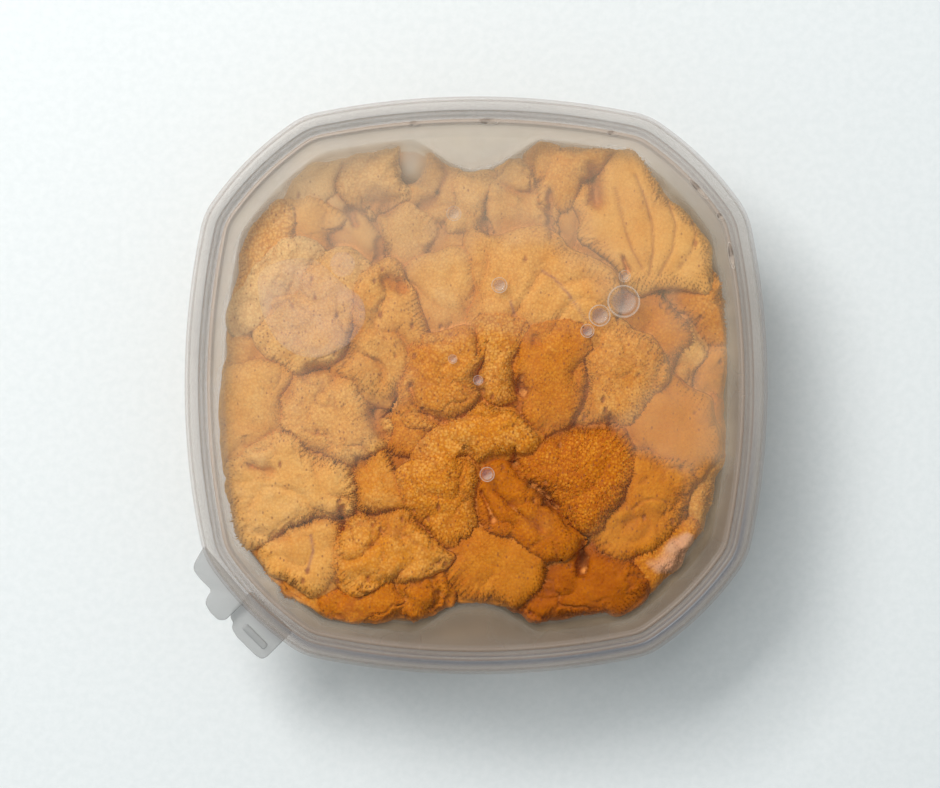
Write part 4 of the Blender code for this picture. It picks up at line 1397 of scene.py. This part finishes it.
def lobe_side(lobe, salt, top_rim):
    """The rows of points from the dome's rim down to the foot."""
    angle = np.arctan2(top_rim[:, 1] - lobe.y, top_rim[:, 0] - lobe.x)
    base = lobe.reach_at(angle, lobe.base)
    skirt = lobe.reach_at(angle, lobe.skirt)
    levels = max(4, int(round((top_rim[:, 2].mean() - lobe.foot) / SIDE_CELL)))
    rows = []
    for k in range(1, levels + 1):
        share = k / levels
        reach = base * (0.97 - 0.13 * share ** 2)
        if k == 1:
            reach = np.minimum(base * 0.99, skirt - 0.5 * MM)
        height = top_rim[:, 2] + (lobe.foot - top_rim[:, 2]) * share
        row = np.c_[lobe.x + reach * np.cos(angle), lobe.y + reach * np.sin(angle), height]
        lump = 0.35 * MM * swells(row, 3.2 * MM, salt + 2) * (1 - share)
        row[:, 0] += lump * np.cos(angle)
        row[:, 1] += lump * np.sin(angle)
        rows.append(share * row + (1 - share) * drift(row))
    return rows


def lobe_mesh(lobe, look, salt, surface, shade):
    """The whole lobe: the dome, the side under it, a flat foot and the villi."""
    points, quads, rim, values, (stands, cones, luck) = surface
    side = lobe_side(lobe, salt, points[rim])
    rows = [points, *side, np.array([[lobe.x, lobe.y, lobe.foot]])]
    body = sum(len(row) for row in rows)
    faces = [quads]
    above = rim
    for k in range(len(side)):
        below = len(points) + k * len(rim) + np.arange(len(rim))
        faces.append(np.stack([below, np.roll(below, -1), np.roll(above, -1), above], axis=-1))
        above = below
    fan = np.stack([np.roll(above, -1), above, np.full(len(rim), body - 1)], axis=-1)
    first = body + np.arange(len(cones))[:, None] * (VILLUS_SIDES + 1)
    for k in range(VILLUS_SIDES):
        corners = (k, (k + 1) % VILLUS_SIDES, VILLUS_SIDES)
        fan = np.concatenate([fan, np.concatenate([first + c for c in corners], axis=1)])
    co = np.concatenate([*rows, cones.reshape(-1, 3)])
    mesh = mesh_from(lobe.name + "_flesh", co, np.concatenate(faces), fan)
    below = np.zeros(body - len(points))
    on_cones = np.repeat(stands, VILLUS_SIDES + 1)
    values = {name: np.concatenate([value, below, value[on_cones]])
              for name, value in values.items()}
    wide, narrow = shade
    # Painted shade: the hollows between lobes and the lobe's side under its dome, less by the wall
    # where light comes in.
    values["shade"] = np.concatenate([wide, below + 0.8, 0.8 * wide[on_cones]]) * off_wall(co)
    # Painted glow: narrow gaps are painted brighter, where light would come through the roe.
    values["glow"] = np.concatenate([narrow, below, narrow[on_cones]])
    at_tip = np.tile(np.arange(VILLUS_SIDES + 1) == VILLUS_SIDES, len(stands))
    paler = 0.24 * np.repeat(luck, VILLUS_SIDES + 1) + np.where(at_tip, -0.16, 0.10)
    paler *= (1 - 0.6 * look["haze"]) * (0.28 + 2.6 * look["grain"])
    tone = look["tone"] + np.concatenate([np.zeros(body), paler])
    store(mesh, **values, dusk=dusk(co), tone=tone, pits=look["pits"],
          grain=look["grain"] * (1 - 0.75 * look["haze"]))
    return mesh


print("a lobe's side has rows", SIDE_CELL / MM, "mm apart")

# %% [markdown]
# ## The finish of roe
#
# Ripe roe runs from pale tan to deep amber. Between grains it is darker and redder, and thin
# veins are purple. A ramp gives the colour of ripeness, and each stored value then mixes its own
# colour in. Pits, cracks, creases and holes get painted shade, the hollows between lobes painted
# shade, narrow gaps a painted orange glow, and deep down in the gaps the colour fades to a
# painted red-brown dusk, less by the see-through wall.

# %% Colour the roe
RIPENESS = ((0.0, (0.90, 0.56, 0.22)), (0.26, (0.86, 0.44, 0.105)), (0.525, (0.71, 0.26, 0.018)),
            (0.75, (0.58, 0.165, 0.002)), (1.0, (0.34, 0.07, 0.001)))
GRAIN_SEAM = (0.46, 0.11, 0.008)
PALE_SPOT = (0.84, 0.50, 0.33)
VEIN = (0.30, 0.11, 0.10)
PIT_PAINTED_SHADE = (0.25, 0.065, 0.028)
HOLLOW_PAINTED_SHADE = (0.47, 0.165, 0.045)
GAP_PAINTED_GLOW = (0.98, 0.42, 0.10)
DUSK_PAINTED_SHADE = (0.38, 0.13, 0.055)


def roe_finish():
    """Grains and dashes are cells round scattered points, so they stay crisp close up."""
    finish = Finish("roe")
    point = finish.add("ShaderNodeNewGeometry", output="Position")

    def cells(size, stretch=(1.0, 1.0, 1.0)):
        """The distance to the nearest cell's middle and that cell's own random number."""
        place = finish.add("ShaderNodeVectorMath", {"operation": "MULTIPLY"},
                           {0: point, 1: tuple(s / size for s in stretch)})
        inputs = {"Vector": place, "Scale": 1.0}
        near = finish.add("ShaderNodeTexVoronoi", None, inputs, "Distance")
        own = finish.add("ShaderNodeTexVoronoi", None, inputs, "Color")
        return near, finish.add("ShaderNodeSeparateColor", None, {"Color": own}, "Red")

    grain_away, grain_own = cells(0.54 * MM)
    dash_away, dash_own = cells(0.85 * MM, (1.0, 0.66, 1.0))
    coarse = finish.stored("grain") * 5.0
    pitted = finish.stored("pits") * finish.rise(finish.noise(4 * MM, 2.0), 0.35, 0.6)
    dash = finish.rise(dash_away, 0.16, 0.30, 1.0, 0.0)
    dash = dash * (pitted * 0.9).maths("GREATER_THAN", dash_own)
    seam = finish.rise(grain_away, 0.30, 0.70)

    tone = finish.stored("tone") + (finish.noise(5 * MM, 3.0) - 0.5) * 0.45
    # Painted shade: the tone deepens in the hollows and pales on the crowns.
    tone = tone + (grain_own - 0.5) * 0.22 * coarse + (finish.stored("shade") - 0.3) * 0.5
    ripe = finish.add("ShaderNodeValToRGB", {"stops": RIPENESS}, {"Fac": tone * 0.75})
    ripe = finish.mix(seam * coarse * 0.55, ripe, GRAIN_SEAM)
    ripe = finish.mix(finish.stored("pale"), ripe, PALE_SPOT)
    ripe = finish.mix(finish.stored("vein") * 0.6, ripe, VEIN)
    # Painted shade in pits, cracks, creases and holes, and dark dashes among the grains, share one
    # dark colour.
    dark = finish.stored("dark").maths("MAXIMUM", dash * 0.75)
    ripe = finish.mix(dark * 0.8, ripe, PIT_PAINTED_SHADE)
    # Painted shade in the hollows between lobes.
    ripe = finish.mix(finish.stored("shade") * 0.48, ripe, HOLLOW_PAINTED_SHADE)
    # Painted glow in the narrow gaps.
    ripe = finish.mix(finish.stored("glow") * 0.95, ripe, GAP_PAINTED_GLOW)
    # Painted shade: the deep gaps fade to dusk.
    ripe = finish.mix(finish.stored("dusk") * 0.8, ripe, DUSK_PAINTED_SHADE)
    height = finish.noise(0.42 * MM, 1.0) * (coarse * 0.65 + 0.15)
    relief = {"Strength": 1.0, "Distance": 0.17 * MM, "Height": height}
    bumped = finish.add("ShaderNodeBump", None, relief)
    return finish.set(Base_Color=ripe, Roughness=0.5, Normal=bumped, IOR=1.36,
                      Specular_IOR_Level=0.06)


ROE = roe_finish()
print("roe finish has", len(ROE.node_tree.nodes), "nodes")

# %% [markdown]
# ## All the lobes
#
# The height map needs every surface, so all surfaces are worked out first and the meshes are
# built from them afterwards. Each lobe has noise of its own, by its salt.

# %% Model every lobe
surfaces = {}
salts = {name: 20 + 13 * number for number, name in enumerate(lobes, start=1)}
for name, lobe in lobes.items():
    surfaces[name] = lobe_surface(lobe, LOOKS[name], salts[name])
shades = shading(surfaces, 20 * MM)
triangles = 0
for name, lobe in lobes.items():
    mesh = lobe_mesh(lobe, LOOKS[name], salts[name], surfaces[name], shades[name])
    stand(name + "_lobe", mesh, ROE, [name])
    triangles += sum(len(p.vertices) - 2 for p in mesh.polygons)
print(len(lobes), "lobes of", triangles, "triangles in all")

# %% [markdown]
# ## The roe below
#
# Under the top layer the roe lies packed, and only its side shows through the tub's wall. It is
# one closed lumpy body: big rounded lobes pressed against the wall, with grains on them.

# %% Model the lower heap
BED_AROUND = 500
BED_LEVELS = 30
BED_END = (0.97, 0.8, 0.5, 0.2)
bed_low, bed_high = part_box("roe_bed")


def bed_mesh():
    """Levels that follow the tub's wall, bulged into lobes and grained."""
    angle = np.arange(BED_AROUND) * 2 * math.pi / BED_AROUND
    wall_here = np.interp(angle, wall_turn, wall_reach, period=2 * math.pi)
    bed_room = 1.4 * MM + np.interp(angle / (math.pi / 4), range(9), WALL_ROOM) * MM
    heights = np.linspace(bed_low.z, bed_high.z, BED_LEVELS)
    rows = []
    for height in heights:
        end = min(height - bed_low.z, bed_high.z - height)
        roll = 2.6 * MM * (1 - soft_step(end, 0.0, 3.2 * MM)) ** 2
        plain = np.c_[np.cos(angle), np.sin(angle)] * (wall_here - bed_room - roll)[:, None]
        place = np.c_[plain, np.full(BED_AROUND, height)]
        away, _ = grains(place, 8.5 * MM, 71)
        small, _ = grains(place, 0.9 * MM, 72)
        bulge = -1.6 * MM * np.minimum(away, 1) ** 2 + 0.14 * MM * (1 - np.minimum(small, 1) ** 2)
        place[:, 0] += (bulge + 0.6 * MM) * np.cos(angle)
        place[:, 1] += (bulge + 0.6 * MM) * np.sin(angle)
        rows.append(place)
    start, end = shrunk(rows[0], BED_END), shrunk(rows[-1], BED_END)
    mesh = sweep("bed_flesh", start[::-1] + rows + end)
    co = np.array([v.co for v in mesh.vertices])
    store(mesh, dusk=dusk(co), tone=0.6, grain=0.16, pits=0.4)
    return mesh


bed = stand("bed_flesh", bed_mesh(), ROE, ["roe_bed"])
print("lower heap:", len(bed.data.polygons), "faces")

# %% [markdown]
# ## Cloudiness
#
# Brine with roe in it is cloudy, so a lobe looks the paler the deeper it lies. Real fog in a
# volume is slow to render and leaves noise. From above it comes to the same to hang one film
# just under the liquid's top and to make it as dense as the liquid below that spot is deep.
# Each point of the film asks the lobes how high they reach there and how cloudy they lie. Beside
# the lobes, where one looks down into plain liquid, it is at its densest.

# %% Shape the film
FILM_CELL = 0.9 * MM
FILM_INSET = 4.5 * MM
FILM_FADE = 7.0 * MM
FLOOR_HAZE = 1.0
FLOOR_HEIGHT = 4 * MM
OPEN_LIQUID = 10 * MM
SKIRT_LOW = 0.8 * MM
# A lobe's own haze reaches this far past its skirt, as a share of the way out.
HAZE_REACH = 1.25


def evened_out(values, shape, times):
    """Values on a grid, each averaged with its four neighbours a number of times."""
    values = values.reshape(shape)
    for _ in range(times):
        padded = np.pad(values, 1, mode="edge")
        values = (padded[:-2, 1:-1] + padded[2:, 1:-1] + padded[1:-1, :-2]
                  + padded[1:-1, 2:] + 2 * values) / 6
    return values.ravel()


def below_film(x, y):
    """How high the roe reaches under each point of the film, and how cloudy it lies there."""
    height = np.full(len(x), tub_low.z + FLOOR_HEIGHT)
    haze = np.full(len(x), FLOOR_HAZE)
    nearest = np.full(len(x), HAZE_REACH)
    for name, lobe in lobes.items():
        inner, turn = lobe.away(x, y)
        part, _ = lobe.away(x, y, lobe.skirt)
        crown, low = lobe.crown(inner, turn, lobe.drop), lobe.top - lobe.drop - SKIRT_LOW
        here = np.where(inner < 1, crown, low)
        height = np.where(part < 1, np.maximum(here, height), height)
        haze = np.where(part < nearest, LOOKS[name]["haze"], haze)
        nearest = np.minimum(part, nearest)
    return height, haze


def film_mesh():
    """A disc of film, with its haze and how far each point lies beside the lobes."""
    share, angle, quads, _ = disc_grid(int(WIDTH / FILM_CELL))
    shape = share.shape
    share, angle = share.ravel(), angle.ravel()
    edge = ring(ROUND, FILM_INSET, 0.0)
    edge_turn = np.arctan2(edge[:, 1], edge[:, 0])
    order = np.argsort(edge_turn)
    edge_reach = np.hypot(*edge[order, :2].T)
    reach = share * np.interp(angle, edge_turn[order], edge_reach, period=2 * math.pi)
    x, y = reach * np.cos(angle), reach * np.sin(angle)
    height, haze = below_film(x, y)
    depth = FILM_TOP - height + pockets(np.c_[x, y, height])
    haze = haze * (0.30 + 0.70 * (1 - np.exp(-depth / FILM_FADE)))
    bare = blurred((height_map(surfaces, 0.0) < OPEN_LIQUID).astype(float), 1.2 * MM)
    beside = soft_step(bare[cell_of(np.c_[x, y])], 0.5, 0.95)
    haze = haze * (1 - beside) + FLOOR_HAZE * beside
    mesh = mesh_from("brine_film", np.c_[x, y, np.full(len(x), FILM_TOP)], quads)
    store(mesh, haze=evened_out(haze, shape, 3), beside=evened_out(beside, shape, 3))
    return mesh


print("the film's cells are", FILM_CELL / MM, "mm wide")

# %% Hang the film
MURK_PAINTED_SHADE, MURK_PAINTED_LIGHT = (0.26, 0.18, 0.115), (0.64, 0.54, 0.42)
OVER_ROE = (0.83, 0.63, 0.42)


def cloud():
    """Milky where roe lies below, murky beside it, and lighter towards the lit corner."""
    finish = Finish("cloudy_brine")
    drift_noise = finish.rise(finish.noise(8 * MM, 1.0), 0.25, 0.75, 0.85, 1.15)
    beside = finish.stored("beside")
    # Painted light and shade: the murk is lighter towards the lit corner and darker on the side away
    # from the lamp.
    way = finish.rise(finish.place(1) - finish.place(0) * 0.6, -60 * MM, 55 * MM)
    murky = finish.mix(way, MURK_PAINTED_SHADE, MURK_PAINTED_LIGHT)
    tint = finish.mix(beside, OVER_ROE, murky)
    alpha = finish.stored("haze") * drift_noise * (beside * 0.20 + 0.46)
    return finish.set(Base_Color=tint, Roughness=0.9, Alpha=alpha, Specular_IOR_Level=0.0)


stand("brine_film", film_mesh(), cloud(), ["brine"])
print("film hung at", round(FILM_TOP / MM, 2), "mm")

# %% [markdown]
# ## Air under the lid
#
# Shutting the lid traps air: round bubbles float up against its underside, and small flat ones
# sit in the groove. Each is a shallow lens, almost clear, with a painted highlight at its rim and
# painted light and shade across it.

# %% Finishes of air
RING_PAINTED_HIGHLIGHT = (0.90, 0.82, 0.74)


def air(name, inside, bright, clear, solid):
    """A painted highlight ring, and in it a disc painted paler on the side away from the lamp."""
    finish = Finish(name)
    ring_here, disc = finish.stored("ring"), finish.stored("disc")
    # Painted light and shade: the disc is paler on the side away from the lamp and darker towards it.
    tint = finish.mix(finish.stored("turned"), inside, bright)
    # Painted highlight: a thin bright ring at the bubble's rim.
    tint = finish.mix(ring_here, tint, RING_PAINTED_HIGHLIGHT)
    alpha = ring_here * solid + disc * clear + 0.03
    return finish.set(Base_Color=tint, Roughness=0.08, Alpha=alpha, IOR=1.33)


AIR = air("air_bubble", (0.22, 0.15, 0.19), (0.78, 0.66, 0.60), 0.26, 0.36)
CAUGHT_AIR = air("caught_air", (0.10, 0.06, 0.04), (0.85, 0.74, 0.62), 0.45, 0.70)
print("air:", AIR.name, CAUGHT_AIR.name)

# %% Shape a lens of air
BUBBLE_ROUND = 40
LENS_SHARES = (0.3, 0.6, 0.7, 0.78, 0.85, 0.9, 0.95)
LENS_TILTS = np.radians(np.linspace(10, 80, 9))
TURN = np.arange(BUBBLE_ROUND) * 2 * math.pi / BUBBLE_ROUND


def lens(x, y, top, radius, depth, circle=None):
    """A shallow lens that hangs from a level: flat above, bulging below."""
    if circle is None:
        circle = np.c_[np.cos(TURN), np.sin(TURN), 0 * TURN]
    levels = [circle * radius * share + (x, y, top) for share in LENS_SHARES]
    for tilt in LENS_TILTS:
        out = 0.95 + 0.05 * math.sin(2 * tilt) if tilt < math.pi / 4 else math.cos(tilt) ** 0.6
        levels.append(circle * radius * min(out, 1.0) + (x, y, top - depth * math.sin(tilt)))
    mesh = sweep("lens", levels[::-1])
    co = np.array([v.co for v in mesh.vertices]) - (x, y, top)
    far = np.hypot(*(circle * radius).T[:2])
    turned = np.arctan2(circle[:, 1], circle[:, 0])
    order = np.argsort(turned)
    here = np.arctan2(co[:, 1], co[:, 0])
    limit = np.interp(here, turned[order], far[order], period=2 * math.pi)
    share = np.hypot(co[:, 0], co[:, 1]) / limit
    # way is 1 on the side away from the lamp and drives the painted light across the disc.
    way = (co[:, 0] * 0.6 - co[:, 1] * 0.8) / limit
    store(mesh, ring=soft_step(share, 0.84, 0.94), disc=1 - soft_step(share, 0.62, 0.8),
          turned=soft_step(way, -0.3, 0.5))
    return mesh


print("a lens has", len(LENS_SHARES) + len(LENS_TILTS), "rings")

# %% Float round bubbles under the lid
# Each bubble's middle, by shares of the lid's half width and depth, and its radius in millimetres.
BUBBLES = ((0.507, 0.291, 3.3), (0.424, 0.242, 2.2), (0.510, 0.378, 1.2), (0.382, 0.189, 1.4),
           (0.080, 0.347, 1.6), (0.038, -0.308, 1.5), (0.007, 0.018, 1.0), (-0.080, 0.091, 0.9),
           (-0.076, 0.595, 1.5))

for number, (u, v, radius) in enumerate(BUBBLES, start=1):
    x, y = u * WIDTH / 2, v * DEPTH / 2
    mesh = lens(x, y, LID_UNDERSIDE - 0.08 * MM, radius * MM, 0.42 * radius * MM)
    stand(f"bubble_{number}", mesh, AIR, ["brine"])
print(len(BUBBLES), "round bubbles")

# %% Catch small bubbles under the bead
# The direction, half length and half width in millimetres of bubbles caught under the bead.
RING_BUBBLES = ((87.8, 2.2, 0.75), (103.0, 1.1, 0.6), (61.7, 1.2, 0.6), (41.6, 2.8, 0.6),
                (34.7, 1.0, 0.6), (26.7, 2.8, 0.6))

bead_line = ring(ROUND, 4.95 * MM, 0.0)
bead_turn = np.degrees(np.arctan2(bead_line[:, 1], bead_line[:, 0])) % 360
for number, (facing, half_long, half_wide) in enumerate(RING_BUBBLES, start=1):
    at = int(np.abs(bead_turn - facing).argmin())
    run = bead_line[(at + 1) % len(ROUND)] - bead_line[at - 1]
    run = run[:2] / np.hypot(*run[:2])
    along, across = np.cos(TURN) * half_long, np.sin(TURN) * half_wide
    oval = np.c_[along * run[0] - across * run[1], along * run[1] + across * run[0], 0 * TURN]
    mesh = lens(*bead_line[at, :2], 35.3 * MM, MM, 0.35 * MM, oval)
    stand(f"ring_bubble_{number}", mesh, CAUGHT_AIR, ["brine"])
print(len(RING_BUBBLES), "bubbles under the bead")

# %% Lay a thin sheet of air
# The corners of a thin sheet of air, as shares of the lid's half width.
AIR_SHEET = ((-0.755, 0.39), (-0.66, 0.435), (-0.55, 0.44), (-0.46, 0.35), (-0.385, 0.30),
             (-0.375, 0.22), (-0.45, 0.12), (-0.58, 0.085), (-0.68, 0.14), (-0.74, 0.25))
AIR_DISC = (-0.458, 0.415)

corners = rounded(np.array(AIR_SHEET + AIR_SHEET[:2]), 0.06, 6)[1:-1]
middle = corners.mean(axis=0)
edge_line = np.c_[(corners - middle) * WIDTH / 2, 0 * corners[:, 0]]
thin_air = Finish("air_sheet")
patchy = thin_air.rise(thin_air.noise(5 * MM, 2.0), 0.2, 0.8, 0.05, 0.14)
thin_air.set(Base_Color=(0.90, 0.66, 0.58), Roughness=0.4, Alpha=patchy, IOR=1.33)
mesh = lens(*(middle * WIDTH / 2), LID_UNDERSIDE - 0.05 * MM, 1.0, 0.12 * MM, edge_line)
stand("air_sheet", mesh, thin_air.material, ["brine"])
x, y = (share * WIDTH / 2 for share in AIR_DISC)
mesh = lens(x, y, LID_UNDERSIDE - 0.05 * MM, 2.5 * MM, 0.1 * MM)
stand("air_disc", mesh, thin_air.material, ["brine"])
print("a sheet of air with", len(corners), "points round it, and a disc of air")

# %% [markdown]
# ## Table, light and camera
#
# The tub stands on pale, slightly cool paper. One large soft light high on the left at the
# back gives the gentle shadow to the right and front, and a pale surround fills the rest. The
# camera hangs straight above, as a cook would look down on it.

# %% The table
PAPER_DIM, PAPER_PALE = (0.84, 0.87, 0.875), (0.88, 0.905, 0.91)
TABLE_HALF = 1.2


def paper():
    """Matt paper with faint fibres."""
    finish = Finish("paper")
    fibre = finish.noise(1.6 * MM, 4.0, 0.6)
    tint = finish.mix(finish.rise(fibre, 0.3, 0.7), PAPER_DIM, PAPER_PALE)
    relief = {"Strength": 0.35, "Distance": 0.15 * MM, "Height": fibre}
    bumped = finish.add("ShaderNodeBump", None, relief)
    return finish.set(Base_Color=tint, Roughness=0.85, Normal=bumped)


corners = np.array([(-1, -1, 0), (1, -1, 0), (1, 1, 0), (-1, 1, 0)]) * TABLE_HALF
table_mesh = mesh_from("table", corners + (0, 0, tub_low.z), [(0, 1, 2, 3)])
table_mesh.materials.append(paper())
table = bpy.data.objects.new("table", table_mesh)
bpy.context.scene.collection.objects.link(table)
print("table at", round(tub_low.z / MM, 2), "mm")

# %% Light
KEY_PLACE = (-0.33, 0.38, 0.78)
KEY_SIZE = 0.36
KEY_POWER = 6.55
KEY_COLOUR = (1.0, 0.99, 0.97)
SURROUND_COLOUR = (0.89, 0.97, 1.0, 1.0)
SURROUND_STRENGTH = 0.42


def lamp(name, place, size, power, colour):
    """A square lamp that shines at the frame's origin."""
    light = bpy.data.lights.new(name, "AREA")
    light.shape = "SQUARE"
    light.size = size
    light.energy = power
    light.color = colour
    made = bpy.data.objects.new(name, light)
    made.location = place
    made.rotation_mode = "QUATERNION"
    made.rotation_quaternion = (-Vector(place)).to_track_quat("-Z", "Y")
    bpy.context.scene.collection.objects.link(made)


lamp("key", KEY_PLACE, KEY_SIZE, KEY_POWER, KEY_COLOUR)
world = bpy.data.worlds.new("surround")
world.use_nodes = True
background = world.node_tree.nodes["Background"]
background.inputs["Color"].default_value = SURROUND_COLOUR
background.inputs["Strength"].default_value = SURROUND_STRENGTH
# The surround is one even colour, so nothing is gained by aiming rays at parts of it.
world.cycles.sampling_method = "NONE"
bpy.context.scene.world = world
bpy.context.scene.view_settings.view_transform = "Standard"
# A ray meets many clear skins on its way down to the roe and back up to the light.
bpy.context.scene.cycles.transparent_max_bounces = 32
bpy.context.scene.cycles.diffuse_bounces = 2
bpy.context.scene.cycles.max_bounces = 4

# %% Camera
CAMERA_HEIGHT = 0.65
CAMERA_OFF = (-0.0012, -0.0017)
VIEW_WIDTH = 0.1848
view = bpy.data.cameras.new("camera")
view.sensor_fit = "HORIZONTAL"
view.angle = 2 * math.atan(VIEW_WIDTH / 2 / CAMERA_HEIGHT)
camera = bpy.data.objects.new("camera", view)
camera.location = (*CAMERA_OFF, LID_TOP + CAMERA_HEIGHT)
bpy.context.scene.collection.objects.link(camera)
bpy.context.scene.camera = camera
print("camera", round(CAMERA_HEIGHT, 2), "m above the lid")

# %% [markdown]
# ## Sizes
#
# The dressed object is meant to stay within the frame's box.
